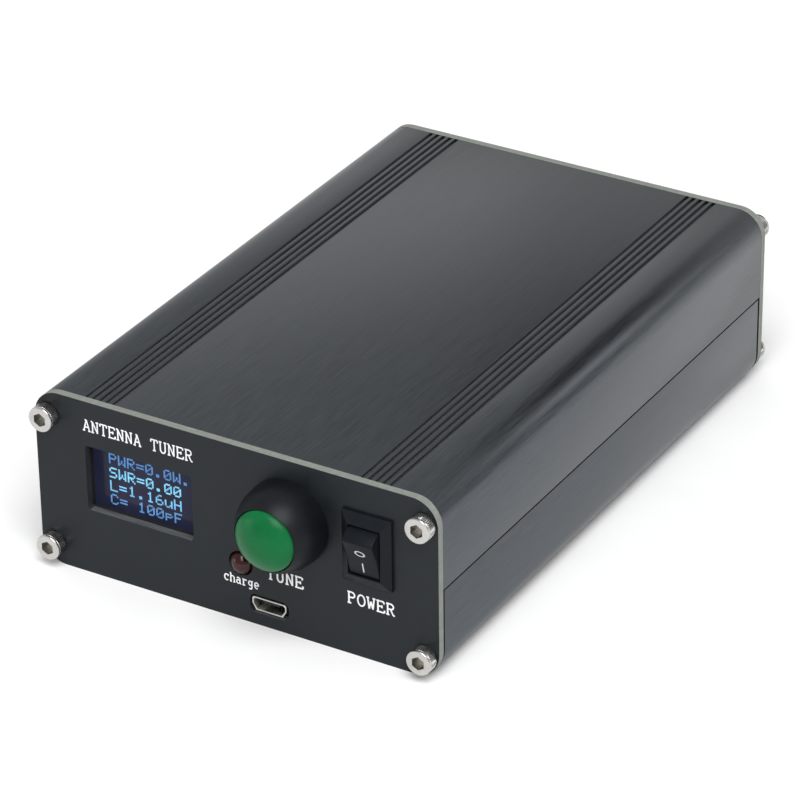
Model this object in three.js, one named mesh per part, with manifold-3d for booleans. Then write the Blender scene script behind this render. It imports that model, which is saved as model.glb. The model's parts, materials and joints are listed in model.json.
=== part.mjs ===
// Antenna tuner in a split aluminium case, built as separate named parts.
// Units are millimetres. +X runs to the right along the front panel, the front panel faces -Y,
// +Z is up, and the origin is on the underside at the middle of the case.
import * as THREE from 'three';
import { ConvexGeometry } from 'three/addons/geometries/ConvexGeometry.js';
import { mergeVertices } from 'three/addons/utils/BufferGeometryUtils.js';
import Module from 'manifold-3d';

const wasm = await Module();
wasm.setup();

// ---------------------------------------------------------------- driving dimensions
// Case
const caseWidth = 88;
const caseHeight = 37.7;
const caseLength = 129;
const panelThickness = 1.6;
const cornerRadius = 5.5;
const wallThickness = 1.8;
const seamHeight = 18.6;
const seamGap = 0.25;
const tongueHeight = 2;
const tongueThickness = 0.85;
const tongueClearance = 0.15;
const lowerFrontGap = 0.45;
const lowerRearGap = 0.7;
const grooveCount = 5;
const groovePitch = 1.505;
const grooveInset = 10.86;
const grooveWidth = 0.75;
const grooveDepth = 0.5;
const grooveDraft = 0.12;
const ribReach = 2.2;
const ribThickness = 1.2;
const topRibDrop = 10.5;
const topRibSlot = 2;
const bossReach = 2.6;
const bossChamfer = 1.2;
const bossHoleRadius = 1.55;

// Panel screws
const screwInsetX = 2.95;
const screwLowZ = 4.45;
const screwTopInset = 5.05;
const screwHeadRadius = 2.6;
const screwHeadHeight = 2.8;
const screwHeadChamfer = 0.3;
const screwShankRadius = 1.4;
const screwLength = 9;
const screwHexFlats = 2.5;
const screwHexDepth = 1.5;
const screwHoleClearance = 0.25;

// Display
const windowWidth = 23.85;
const windowHeight = 14;
const windowX = -20.98;
const windowZ = 21.1;
const windowCorner = 0.7;
const gasketThickness = 1.3;
const gasketBorder = 2;
const gasketMargin = 0.25;
const glassWidth = 27;
const glassHeight = 19.3;
const glassThickness = 1.5;
const glassDropZ = 0.6;
const displayBoardWidth = 27.3;
const displayBoardHeight = 27.8;
const displayBoardThickness = 1.2;
const displayBoardDropZ = 1.6;
const headerPinCount = 4;
const headerPitch = 2.54;
const headerPinSize = 0.64;
const headerPinLength = 8;

// Tune button
const buttonX = 12;
const buttonZ = 24.8;
const bezelOverhang = 0.95;
const bezelHeight = 8.6;
const buttonBodyDepth = 20;
const buttonBoreRadius = 6.35;
const buttonBodyWall = 1.45;
const buttonFloorFront = 2;
const buttonFloorRear = 6;
const buttonRearWall = 2;
const buttonInnerRadius = 6;
const capClearance = 0.25;
const capRimReach = 8.8;
const capDomeHeight = 2.2;
const capSkirtEnd = 2.2;
const stemRadius = 2.4;
const stemClearance = 0.3;
const collarRadius = 3.6;
const collarThickness = 1.5;
const collarGap = 0.05;
const stemEnd = 10.5;
const buttonTravel = 1.8;
const springWireRadius = 0.28;
const springRadius = 4;
const springTurns = 3.5;
const bridgeRadius = 4.6;
const bridgeThickness = 0.5;
const buttonNutWall = 1;
const buttonNutThickness = 3;
const buttonThreadClearance = 0.2;
const buttonBladeSpacing = 6;
const buttonBladeReach = 7;
const buttonBladeGap = 0.2;

// Power rocker
const rockerX = 29.22;
const rockerZ = 23.95;
const frameWidth = 10.55;
const frameHeight = 15;
const frameEdge = 0.65;
const frameCrown = 1.75;
const frameLip = 0.3;
const openingWidth = 6.85;
const openingHeight = 10.6;
const switchBodyWidth = 8.6;
const switchBodyHeight = 13;
const switchBodyDepth = 10;
const switchWellDepth = 3.8;
const switchHoleClearance = 0.2;
const rockerSideClearance = 0.2;
const rockerRadius = 5.1;
const rockerPivotReach = 0.33;
const rockerTilt = 19;
const rockerFaceAngle = 57.9;
const rockerValley = 0.45;
const rockerBack = 2;
const pivotPinRadius = 0.8;
const pivotPinLength = 0.6;
const pivotPinClearance = 0.15;
const switchBladeSpacing = 7;
const switchBladeReach = 8;
const switchBladeInset = 0.3;

// Blades shared by both switches
const bladeWidth = 3;
const bladeThickness = 0.6;
const bladeClearance = 0.15;

// Charge light, board and socket
const ledX = 1.25;
const ledZ = 12.4;
const ledHoleRadius = 2.6;
const ledRadius = 2.4;
const ledReach = 1.5;
const ledFlangeRadius = 2.85;
const ledFlangeThickness = 1;
const ledPanelGap = 0.15;
const ledLegLength = 12;
const ledLegPitch = 2.54;
const ledLegSize = 0.5;
const usbX = 7.3;
const usbWidth = 7.5;
const usbHeight = 2.9;
const usbNarrowWidth = 5.9;
const usbShoulder = 1.45;
const usbWall = 0.3;
const usbDepth = 5.5;
const usbHoleWidth = 8.6;
const usbHoleHeight = 3.9;
const usbHoleCorner = 1.3;
const usbTongueWidth = 3.7;
const usbTongueThickness = 0.6;
const usbTongueRecess = 0.9;
const usbTongueDrop = 0.55;
const usbTongueGap = 0.02;
const chargeBoardWidth = 17;
const chargeBoardLength = 26;
const chargeBoardThickness = 1;
const chargeBoardGap = 0.1;
const chargeBoardLift = 0.25;
const chargeBoardInset = 0.3;
const chargeChipSize = [4, 5, 1.5];
const chargeChipSetback = 13;
const chargeCoilSize = [3.2, 2.5, 1.1];
const chargeCoilSetback = 20;
const chargeCoilOffset = 4;

// Main board and what stands on it
const boardThickness = 1.6;
const boardUndersideZ = 9.4;
const boardSlotClearance = 0.2;
const boardSideClearance = 0.3;
const boardFrontY = -30;
const boardLength = 84;
const relayCount = 3;
const relayLength = 20.5;
const relayWidth = 10;
const relayHeight = 12;
const relayColumnX = 28;
const relayFirstY = -19;
const relayPitch = 13.5;
const inductorOuterRadius = 6.4;
const inductorInnerRadius = 3.2;
const inductorThickness = 5.2;
const inductorPitch = 15.5;
const inductorFirstY = -20;
const couplerWidth = 15;
const couplerHeight = 8;
const couplerLength = 13;
const couplerHoleRadius = 2;
const couplerY = 40;
const chipLength = 34;
const chipWidth = 7.4;
const chipHeight = 3.2;
const chipY = 27;
const chipX = 24;
const chipLegCount = 14;
const chipPitch = 2.54;
const chipStandOff = 0.6;
const chipLegWidth = 0.5;
const batteryWidth = 34;
const batteryLength = 56;
const batteryThickness = 6.2;
const batteryY = 8;
const batteryFloorGap = 0.2;

// Coaxial sockets
const socketX = 22;
const flangeSize = 25.4;
const flangeThickness = 2.6;
const flangeCorner = 1.2;
const flangeHoleSpacing = 18.2;
const flangeHoleRadius = 1.7;
const barrelRadius = 7.9;
const barrelLength = 13.8;
const barrelBore = 6.1;
const barrelNotch = 1.6;
const barrelNotchDepth = 1.2;
const socketRearRadius = 7.2;
const socketRearReach = 2;
const insulatorRadius = 5.3;
const insulatorBore = 5.45;
const insulatorReach = 5;
const insulatorRear = 3.5;
const insulatorHole = 2.35;
const contactRadius = 2.2;
const contactBore = 1.9;
const contactBoreDepth = 10;
const contactRecess = 1.5;
const contactRear = 6;
const socketPanelClearance = 0.2;
const backingSize = 25.4;
const backingThickness = 2;
const socketScrewHeadRadius = 2.75;
const socketScrewHeadHeight = 1.7;
const socketScrewShankRadius = 1.4;
const socketScrewLength = 8;
const socketScrewSlot = 0.9;

// Mesh fineness
const fineSegments = 32;
const roundSegments = 16;
const smallSegments = 10;
const arcSegments = 8;

// ---------------------------------------------------------------- derived places
const frontY = -caseLength / 2 - panelThickness;
const rearY = caseLength / 2 + panelThickness;
const panelBackY = frontY + panelThickness;
const screwHighZ = caseHeight - screwTopInset;
const socketZ = caseHeight / 2;
const threadRadius = buttonBoreRadius + buttonBodyWall;
const bezelBaseRadius = threadRadius + bezelOverhang;
const buttonNutFlats = 2 * (threadRadius + buttonThreadClearance + buttonNutWall);
const usbTopZ = wallThickness + chargeBoardLift + chargeBoardThickness + chargeBoardGap + usbHeight;
const degrees = Math.PI / 180;

// ---------------------------------------------------------------- shape helpers

/** Turns a closed three.js geometry into a manifold solid, facing outwards. */
function solid(geometry) {
  const plain = geometry.clone();
  plain.deleteAttribute('normal');
  plain.deleteAttribute('uv');
  const merged = mergeVertices(plain, 1e-4);
  const vertProperties = new Float32Array(merged.attributes.position.array);
  const triVerts = new Uint32Array(merged.index.array);
  let volume = 0;
  for (let i = 0; i < triVerts.length; i += 3) {
    const corner = (k) => new THREE.Vector3().fromArray(vertProperties, triVerts[i + k] * 3);
    const [a, b, c] = [0, 1, 2].map(corner);
    volume += a.dot(b.cross(c));
  }
  if (volume < 0) {
    for (let i = 0; i < triVerts.length; i += 3) {
      [triVerts[i + 1], triVerts[i + 2]] = [triVerts[i + 2], triVerts[i + 1]];
    }
  }
  return new wasm.Manifold(new wasm.Mesh({ numProp: 3, vertProperties, triVerts }));
}

/** Turns a manifold solid back into a three.js geometry. */
function geometryOf(manifold) {
  const mesh = manifold.getMesh();
  const geometry = new THREE.BufferGeometry();
  geometry.setAttribute('position', new THREE.BufferAttribute(new Float32Array(mesh.vertProperties), 3));
  geometry.setIndex(new THREE.BufferAttribute(new Uint32Array(mesh.triVerts), 1));
  const flat = geometry.toNonIndexed();
  flat.computeVertexNormals();
  return flat;
}

/** Joins a list of solids into one. */
function join(parts) {
  return parts.reduce((whole, part) => whole.add(part));
}

/** Cuts a list of solids from a body. */
function cut(body, tools) {
  return tools.reduce((rest, tool) => rest.subtract(tool), body);
}

/** Extrudes an XZ outline along +Y from yStart. */
function alongY(shape, yStart, length, curveSegments = arcSegments) {
  const geometry = new THREE.ExtrudeGeometry(shape, { depth: length, bevelEnabled: false, curveSegments });
  geometry.rotateX(Math.PI / 2);
  geometry.translate(0, yStart + length, 0);
  return solid(geometry);
}

/** A box given by its centre in X and Z, its start in Y and its three sizes. */
function boxAt(x, yStart, z, width, length, height) {
  const geometry = new THREE.BoxGeometry(width, length, height);
  geometry.translate(x, yStart + length / 2, z);
  return solid(geometry);
}

/** A cylinder along Y from yStart. */
function rodAt(x, yStart, z, radius, length, segments = roundSegments) {
  const geometry = new THREE.CylinderGeometry(radius, radius, length, segments);
  geometry.translate(x, yStart + length / 2, z);
  return solid(geometry);
}

/** Turns a closed [radius, y] outline about the Y axis through (x, z). */
function turned(x, z, outline, segments = fineSegments) {
  const points = outline.map(([radius, y]) => new THREE.Vector2(radius, y));
  points.push(points[0].clone());
  const geometry = new THREE.LatheGeometry(points, segments);
  geometry.translate(x, 0, z);
  return solid(geometry);
}

/** A rounded rectangle in XZ, with rounded corners of the given radius. */
function roundedRectangle(x, z, width, height, radius) {
  const shape = new THREE.Shape();
  const [right, top] = [x + width / 2, z + height / 2];
  const [left, bottom] = [x - width / 2, z - height / 2];
  shape.moveTo(right, bottom + radius);
  shape.lineTo(right, top - radius);
  shape.absarc(right - radius, top - radius, radius, 0, Math.PI / 2, false);
  shape.lineTo(left + radius, top);
  shape.absarc(left + radius, top - radius, radius, Math.PI / 2, Math.PI, false);
  shape.lineTo(left, bottom + radius);
  shape.absarc(left + radius, bottom + radius, radius, Math.PI, 1.5 * Math.PI, false);
  shape.lineTo(right - radius, bottom);
  shape.absarc(right - radius, bottom + radius, radius, 1.5 * Math.PI, 2 * Math.PI, false);
  return shape;
}

/** A hexagonal prism along Y, flats up and down. */
function hexAt(x, yStart, z, acrossFlats, length) {
  const radius = acrossFlats / Math.sqrt(3);
  const geometry = new THREE.CylinderGeometry(radius, radius, length, 6);
  geometry.rotateY(Math.PI / 6);
  geometry.translate(x, yStart + length / 2, z);
  return solid(geometry);
}

/** Points of a quarter arc, from one angle to another, in the XZ plane. */
function arcPoints(centreX, centreZ, radius, fromDegrees, toDegrees) {
  const points = [];
  for (let i = 0; i <= arcSegments; i += 1) {
    const angle = (fromDegrees + ((toDegrees - fromDegrees) * i) / arcSegments) * degrees;
    points.push([centreX + radius * Math.cos(angle), centreZ + radius * Math.sin(angle)]);
  }
  return points;
}

/** A filled XZ shape from a list of points. */
function shapeOf(points) {
  return new THREE.Shape(points.map(([x, z]) => new THREE.Vector2(x, z)));
}

// ---------------------------------------------------------------- materials

/** A standard material from a colour, a roughness and a metalness. */
function finish(color, roughness, metalness) {
  return new THREE.MeshStandardMaterial({ color, roughness, metalness });
}

const finishes = {
  anodised: () => finish(0x2b2d33, 0.42, 0.75),
  panel: () => finish(0x1d1f22, 0.55, 0.05),
  steel: () => finish(0xc8c9c6, 0.28, 1),
  nickel: () => finish(0xbfc0bd, 0.22, 1),
  brass: () => finish(0xc9a24d, 0.3, 1),
  copper: () => finish(0xb87046, 0.35, 1),
  blackPlastic: () => finish(0x17181a, 0.4, 0),
  greenPlastic: () => finish(0x12803f, 0.35, 0),
  redLens: () => finish(0x5a1014, 0.15, 0),
  foam: () => finish(0x0d0d0f, 0.9, 0),
  glass: () => finish(0x10122a, 0.08, 0),
  board: () => finish(0x14502c, 0.5, 0.05),
  blueBoard: () => finish(0x16306b, 0.5, 0.05),
  relayPlastic: () => finish(0x1c1d20, 0.45, 0),
  ferrite: () => finish(0x8a2c1e, 0.6, 0),
  darkFerrite: () => finish(0x2a2a2c, 0.7, 0),
  insulator: () => finish(0xe9e4d6, 0.5, 0),
  cell: () => finish(0xa9b0b8, 0.4, 0.4),
  tin: () => finish(0xb7b9bb, 0.3, 0.9),
};

// ---------------------------------------------------------------- case

/** The five fine grooves of one group, as notch points on a flat running towards -X. */
function groovePoints(firstX, faceZ, inward) {
  const points = [];
  for (let i = 0; i < grooveCount; i += 1) {
    const x = firstX - i * groovePitch;
    points.push([x + grooveWidth / 2, faceZ]);
    points.push([x + grooveWidth / 2 - grooveDraft, faceZ + inward * grooveDepth]);
    points.push([x - grooveWidth / 2 + grooveDraft, faceZ + inward * grooveDepth]);
    points.push([x - grooveWidth / 2, faceZ]);
  }
  return points;
}

/** X of the first groove of the right-hand group and of the left-hand group. */
function grooveStarts() {
  const right = caseWidth / 2 - grooveInset;
  const left = -caseWidth / 2 + grooveInset + (grooveCount - 1) * groovePitch;
  return [right, left];
}

/** Inside outline of a lower right quarter: down the wall over its ribs, then round the screw boss. */
function insideQuarter(wallTop, ribUndersides, screwInsetZ) {
  const inner = caseWidth / 2 - wallThickness;
  const tip = inner - ribReach;
  const left = caseWidth / 2 - screwInsetX - bossReach;
  const bossTop = screwInsetZ + bossReach;
  const ribPoints = ribUndersides.flatMap((z) => [
    [inner, z + ribThickness],
    [tip, z + ribThickness],
    [tip, z],
    [inner, z],
  ]);
  return [
    [inner, wallTop],
    ...ribPoints,
    [inner, bossTop],
    [left + bossChamfer, bossTop],
    [left, bossTop - bossChamfer],
    [left, wallThickness],
  ];
}

/** The lower right outline, mirrored and turned over for the three other quarters. */
function mirrored(points, flipX, flipZ) {
  const places = points.map(([x, z]) => [flipX ? -x : x, flipZ ? caseHeight - z : z]);
  return flipX === flipZ ? places : places.reverse();
}

/** A cover from its outline, with the tapped holes that run through both bosses. */
function coverFrom(points, screwZ, yStart, length) {
  const shape = shapeOf(points);
  const x = caseWidth / 2 - screwInsetX;
  for (const side of [x, -x]) {
    const hole = new THREE.Path();
    hole.absarc(side, screwZ, bossHoleRadius, 0, 2 * Math.PI, false);
    shape.holes.push(hole);
  }
  return alongY(shape, yStart, length);
}

/** Upper case half: top, rounded shoulders, side walls, tongues, bosses and ribs. */
function topCover() {
  const outer = caseWidth / 2;
  const tongueOuter = outer - wallThickness + tongueThickness;
  const lower = seamHeight + seamGap / 2;
  const tongueEnd = seamHeight - tongueHeight;
  const [rightStart, leftStart] = grooveStarts();
  const lowerRib = topRibDrop + topRibSlot + ribThickness;
  const inside = insideQuarter(caseHeight - tongueEnd, [lowerRib, topRibDrop], screwTopInset);
  const points = [
    [outer, lower],
    ...arcPoints(outer - cornerRadius, caseHeight - cornerRadius, cornerRadius, 0, 90),
    ...groovePoints(rightStart, caseHeight, -1),
    ...groovePoints(leftStart, caseHeight, -1),
    ...arcPoints(-outer + cornerRadius, caseHeight - cornerRadius, cornerRadius, 90, 180),
    [-outer, lower],
    [-tongueOuter, lower],
    [-tongueOuter, tongueEnd],
    ...mirrored(inside, true, true),
    ...mirrored(inside, false, true),
    [tongueOuter, tongueEnd],
    [tongueOuter, lower],
  ];
  return coverFrom(points, screwHighZ, panelBackY, caseLength);
}

/** Lower case half: floor, side walls with rebates for the tongues, bosses and board ribs. */
function bottomCover() {
  const outer = caseWidth / 2;
  const rebate = outer - wallThickness + tongueThickness + tongueClearance;
  const upper = seamHeight - seamGap / 2;
  const ledge = seamHeight - tongueHeight - seamGap;
  const [rightStart, leftStart] = grooveStarts();
  const floorGrooves = [...groovePoints(rightStart, 0, 1), ...groovePoints(leftStart, 0, 1)];
  const ribAbove = boardUndersideZ + boardThickness + boardSlotClearance;
  const ribBelow = boardUndersideZ - boardSlotClearance - ribThickness;
  const inside = insideQuarter(ledge, [ribAbove, ribBelow], screwLowZ);
  const points = [
    [outer, upper],
    [rebate, upper],
    [rebate, ledge],
    ...mirrored(inside, false, false),
    ...mirrored(inside, true, false),
    [-rebate, ledge],
    [-rebate, upper],
    [-outer, upper],
    ...arcPoints(-outer + cornerRadius, cornerRadius, cornerRadius, 180, 270),
    ...floorGrooves.reverse(),
    ...arcPoints(outer - cornerRadius, cornerRadius, cornerRadius, -90, 0),
  ];
  const length = caseLength - lowerFrontGap - lowerRearGap;
  return coverFrom(points, screwLowZ, panelBackY + lowerFrontGap, length);
}

/** The four screw places of a panel as [x, z]. */
function panelScrewPlaces() {
  const x = caseWidth / 2 - screwInsetX;
  return [[-x, screwHighZ], [x, screwHighZ], [-x, screwLowZ], [x, screwLowZ]];
}

/** Clearance holes for the four panel screws. */
function panelScrewHoles(yStart) {
  const radius = screwShankRadius + screwHoleClearance;
  const places = panelScrewPlaces();
  return places.map(([x, z]) => rodAt(x, yStart - 1, z, radius, panelThickness + 2, smallSegments));
}

/** A blank end panel with the outline of the case. */
function panelBlank(yStart) {
  const outline = roundedRectangle(0, caseHeight / 2, caseWidth, caseHeight, cornerRadius);
  return alongY(outline, yStart, panelThickness);
}

/** Front panel with its window, button, light, charging socket, switch and screw holes. */
function frontPanel() {
  const start = frontY - 1;
  const depth = panelThickness + 2;
  const usbZ = usbTopZ - usbHeight / 2;
  const window = roundedRectangle(windowX, windowZ, windowWidth, windowHeight, windowCorner);
  const usb = roundedRectangle(usbX, usbZ, usbHoleWidth, usbHoleHeight, usbHoleCorner);
  const switchWidth = switchBodyWidth + 2 * switchHoleClearance;
  const switchHeight = switchBodyHeight + 2 * switchHoleClearance;
  return cut(panelBlank(frontY), [
    alongY(window, start, depth, 3),
    alongY(usb, start, depth, 4),
    rodAt(buttonX, start, buttonZ, threadRadius + buttonThreadClearance, depth, fineSegments),
    rodAt(ledX, start, ledZ, ledHoleRadius, depth, roundSegments),
    boxAt(rockerX, start, rockerZ, switchWidth, depth, switchHeight),
    ...panelScrewHoles(frontY),
  ]);
}

/** The two coaxial socket places as [name, x]. */
const socketPlaces = [['rf_input', -socketX], ['rf_output', socketX]];

/** The four flange hole places of a socket, relative to its centre. */
function flangeHolePlaces() {
  const half = flangeHoleSpacing / 2;
  return [[-half, half], [half, half], [-half, -half], [half, -half]];
}

/** Rear panel with two coaxial socket holes, their screw holes and the panel screw holes. */
function rearPanel() {
  const start = rearY - panelThickness;
  const depth = panelThickness + 2;
  const tools = [...panelScrewHoles(start)];
  for (const [, x] of socketPlaces) {
    tools.push(rodAt(x, start - 1, socketZ, socketRearRadius + socketPanelClearance, depth, fineSegments));
    for (const [dx, dz] of flangeHolePlaces()) {
      tools.push(rodAt(x + dx, start - 1, socketZ + dz, flangeHoleRadius, depth, smallSegments));
    }
  }
  return cut(panelBlank(start), tools);
}

/** A socket-head cap screw whose head stands out from faceY towards direction (-1 front, 1 rear). */
function capScrew(x, z, faceY, direction) {
  const outer = faceY + direction * screwHeadHeight;
  const tip = faceY - direction * (screwLength - screwHexDepth);
  const outline = [
    [0, tip],
    [screwShankRadius, tip],
    [screwShankRadius, faceY],
    [screwHeadRadius, faceY],
    [screwHeadRadius, outer - direction * screwHeadChamfer],
    [screwHeadRadius - screwHeadChamfer, outer],
    [0, outer],
  ];
  const hexStart = direction < 0 ? outer - 1 : outer - screwHexDepth;
  const hex = hexAt(x, hexStart, z, screwHexFlats, screwHexDepth + 1);
  return turned(x, z, outline, roundSegments).subtract(hex);
}

// ---------------------------------------------------------------- display

/** Foam frame that seals the gap between the front panel and the display glass. */
function displayGasket() {
  const innerWidth = windowWidth + 2 * gasketMargin;
  const innerHeight = windowHeight + 2 * gasketMargin;
  const width = innerWidth + 2 * gasketBorder;
  const height = innerHeight + 2 * gasketBorder;
  const frame = boxAt(windowX, panelBackY, windowZ, width, gasketThickness, height);
  const hole = boxAt(windowX, panelBackY - 1, windowZ, innerWidth, gasketThickness + 2, innerHeight);
  return frame.subtract(hole);
}

/** Display glass behind the gasket. */
function displayGlass() {
  const start = panelBackY + gasketThickness;
  return boxAt(windowX, start, windowZ - glassDropZ, glassWidth, glassThickness, glassHeight);
}

/** Small board that carries the display glass. */
function displayBoard() {
  const start = panelBackY + gasketThickness + glassThickness;
  const z = windowZ - displayBoardDropZ;
  return boxAt(windowX, start, z, displayBoardWidth, displayBoardThickness, displayBoardHeight);
}

/** Pin header behind the top edge of the display board. */
function displayHeader() {
  const start = panelBackY + gasketThickness + glassThickness + displayBoardThickness;
  const z = windowZ - displayBoardDropZ + displayBoardHeight / 2 - headerPitch;
  const block = boxAt(windowX, start, z, headerPinCount * headerPitch, headerPitch, headerPitch);
  const pins = [];
  for (let i = 0; i < headerPinCount; i += 1) {
    const x = windowX + (i - (headerPinCount - 1) / 2) * headerPitch;
    pins.push(boxAt(x, start + headerPitch / 2, z, headerPinSize, headerPinLength, headerPinSize));
  }
  return join([block, ...pins]);
}

// ---------------------------------------------------------------- tune button

/** Threaded button body with its tapering bezel, bore, floor and rear wall. */
function buttonBody() {
  const base = frontY;
  const bezelFrontRadius = buttonBoreRadius + 0.1;
  const rear = base + buttonBodyDepth;
  const outline = [
    [stemRadius + stemClearance, base + buttonFloorFront],
    [buttonBoreRadius, base + buttonFloorFront],
    [buttonBoreRadius, base - bezelHeight + 0.2],
    [bezelFrontRadius, base - bezelHeight],
    [bezelFrontRadius + 0.5, base - bezelHeight * 0.94],
    [bezelBaseRadius - 1, base - bezelHeight * 0.76],
    [bezelBaseRadius - 0.45, base - bezelHeight * 0.48],
    [bezelBaseRadius - 0.1, base - bezelHeight * 0.2],
    [bezelBaseRadius, base],
    [threadRadius, base],
    [threadRadius, rear],
    [0, rear],
    [0, rear - buttonRearWall],
    [buttonInnerRadius, rear - buttonRearWall],
    [buttonInnerRadius, base + buttonFloorRear],
    [stemRadius + stemClearance, base + buttonFloorRear],
  ];
  const slots = [];
  for (const side of [-1, 1]) {
    const slotX = buttonX + (side * buttonBladeSpacing) / 2;
    slots.push(bladeSlot(slotX, rear - buttonRearWall, buttonZ, buttonRearWall, true));
  }
  return cut(turned(buttonX, buttonZ, outline), slots);
}

/** A slot through a rear wall for one blade. An upright blade has its width along Z. */
function bladeSlot(x, yStart, z, depth, upright) {
  const wide = bladeWidth + 2 * bladeClearance;
  const thin = bladeThickness + 2 * bladeClearance;
  return boxAt(x, yStart - 1, z, upright ? thin : wide, depth + 2, upright ? wide : thin);
}

/** Green domed cap with its skirt, stem and retaining collar, as one moulding. */
function buttonCap() {
  const base = frontY;
  const radius = buttonBoreRadius - capClearance;
  const rim = base - capRimReach;
  const sphere = (radius * radius + capDomeHeight * capDomeHeight) / (2 * capDomeHeight);
  const edgeAngle = Math.asin(radius / sphere);
  const dome = [];
  const steps = 6;
  for (let i = steps; i >= 0; i -= 1) {
    const angle = (edgeAngle * i) / steps;
    const y = rim - sphere * (Math.cos(angle) - Math.cos(edgeAngle));
    dome.push([sphere * Math.sin(angle), y]);
  }
  const collarFront = base + buttonFloorRear + collarGap;
  const outline = [
    ...dome,
    [0, base + stemEnd],
    [stemRadius, base + stemEnd],
    [stemRadius, collarFront + collarThickness],
    [collarRadius, collarFront + collarThickness],
    [collarRadius, collarFront],
    [stemRadius, collarFront],
    [stemRadius, base - capSkirtEnd],
    [radius, base - capSkirtEnd],
  ];
  return turned(buttonX, buttonZ, outline);
}

/** Return spring around the stem, between the body floor and the cap. */
function buttonSpring() {
  const start = frontY - capSkirtEnd + springWireRadius;
  const length = buttonFloorFront + capSkirtEnd - 2 * springWireRadius;
  class Coil extends THREE.Curve {
    getPoint(t, target = new THREE.Vector3()) {
      const angle = t * springTurns * 2 * Math.PI;
      return target.set(springRadius * Math.cos(angle), t * length, springRadius * Math.sin(angle));
    }
  }
  const wire = new THREE.Shape();
  wire.absarc(0, 0, springWireRadius, 0, 2 * Math.PI, false);
  const steps = Math.round(springTurns * smallSegments);
  const geometry = new THREE.ExtrudeGeometry(wire, { steps, extrudePath: new Coil(), curveSegments: 5 });
  geometry.translate(buttonX, start, buttonZ);
  return solid(geometry);
}

/** Contact disc on the inner end of the stem. */
function buttonContact() {
  return rodAt(buttonX, frontY + stemEnd, buttonZ, bridgeRadius, bridgeThickness);
}

/** Hexagonal nut that clamps the button behind the front panel. */
function buttonNut() {
  const radius = threadRadius + buttonThreadClearance;
  const hole = rodAt(buttonX, panelBackY - 1, buttonZ, radius, buttonNutThickness + 2);
  return hexAt(buttonX, panelBackY, buttonZ, buttonNutFlats, buttonNutThickness).subtract(hole);
}

/** One solder blade of the button. */
function buttonBlade(side) {
  const rear = frontY + buttonBodyDepth;
  const inner = frontY + stemEnd + bridgeThickness + buttonTravel + buttonBladeGap;
  const x = buttonX + (side * buttonBladeSpacing) / 2;
  return boxAt(x, inner, buttonZ, bladeThickness, rear + buttonBladeReach - inner, bladeWidth);
}

// ---------------------------------------------------------------- power switch

/** Switch body: crowned frame on the panel, well for the rocker, pin holes and blade slots. */
function switchBody() {
  const corners = (width, height, y) => {
    const [w, h] = [width / 2, height / 2];
    const places = [[-w, -h], [w, -h], [w, h], [-w, h]];
    return places.map(([x, z]) => new THREE.Vector3(rockerX + x, y, rockerZ + z));
  };
  const edgeInset = 0.15;
  const crown = new ConvexGeometry([
    ...corners(frameWidth, frameHeight, frontY),
    ...corners(frameWidth - edgeInset, frameHeight - edgeInset, frontY - frameEdge),
    ...corners(openingWidth + frameLip, openingHeight + frameLip, frontY - frameCrown),
  ]);
  const overlap = 0.1;
  const bodyLength = switchBodyDepth + overlap;
  const body = boxAt(rockerX, frontY - overlap, rockerZ, switchBodyWidth, bodyLength, switchBodyHeight);
  const wellStart = frontY - frameCrown - 1;
  const wellLength = frameCrown + 1 + switchWellDepth;
  const well = boxAt(rockerX, wellStart, rockerZ, openingWidth, wellLength, openingHeight);
  const pinHole = new THREE.CylinderGeometry(
    pivotPinRadius + pivotPinClearance,
    pivotPinRadius + pivotPinClearance,
    openingWidth + 2 * pivotPinLength,
    smallSegments,
  );
  pinHole.rotateZ(Math.PI / 2);
  pinHole.translate(rockerX, frontY - rockerPivotReach, rockerZ);
  const floor = frontY + switchWellDepth;
  const slots = [-1, 1].map((side) => bladeSlot(
    rockerX,
    floor,
    rockerZ + (side * switchBladeSpacing) / 2,
    switchBodyDepth - switchWellDepth,
    false,
  ));
  return cut(join([solid(crown), body]), [well, solid(pinHole), ...slots]);
}

/** Rocker: valley-shaped face between rounded ends, with two pivot pins, in its pressed-below state. */
function powerRocker() {
  const points = [];
  const end = (angle) => [
    -rockerRadius * Math.cos(angle * degrees),
    rockerRadius * Math.sin(angle * degrees),
  ];
  const face = end(rockerFaceAngle);
  points.push(end(-rockerFaceAngle));
  points.push([face[0] + rockerValley, 0]);
  const backAngle = 180 - Math.asin(rockerBack / rockerRadius) / degrees - 90;
  for (let i = 0; i <= arcSegments; i += 1) {
    points.push(end(rockerFaceAngle + ((180 - rockerFaceAngle - backAngle) * i) / arcSegments));
  }
  for (let i = arcSegments; i > 0; i -= 1) {
    points.push(end(-rockerFaceAngle - ((180 - rockerFaceAngle - backAngle) * i) / arcSegments));
  }
  const tilt = rockerTilt * degrees;
  const placed = points.map(([y, z]) => {
    const turnedY = y * Math.cos(tilt) - z * Math.sin(tilt);
    const turnedZ = y * Math.sin(tilt) + z * Math.cos(tilt);
    return new THREE.Vector2(turnedY, turnedZ);
  });
  const width = openingWidth - 2 * rockerSideClearance;
  const side = new THREE.Shape(placed);
  const geometry = new THREE.ExtrudeGeometry(side, { depth: width, bevelEnabled: false });
  geometry.applyMatrix4(new THREE.Matrix4().set(
    0, 0, 1, rockerX - width / 2,
    1, 0, 0, frontY - rockerPivotReach,
    0, 1, 0, rockerZ,
    0, 0, 0, 1,
  ));
  const pinsLength = openingWidth + pivotPinLength;
  const pins = new THREE.CylinderGeometry(pivotPinRadius, pivotPinRadius, pinsLength, smallSegments);
  pins.rotateZ(Math.PI / 2);
  pins.translate(rockerX, frontY - rockerPivotReach, rockerZ);
  return solid(geometry).add(solid(pins));
}

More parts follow.
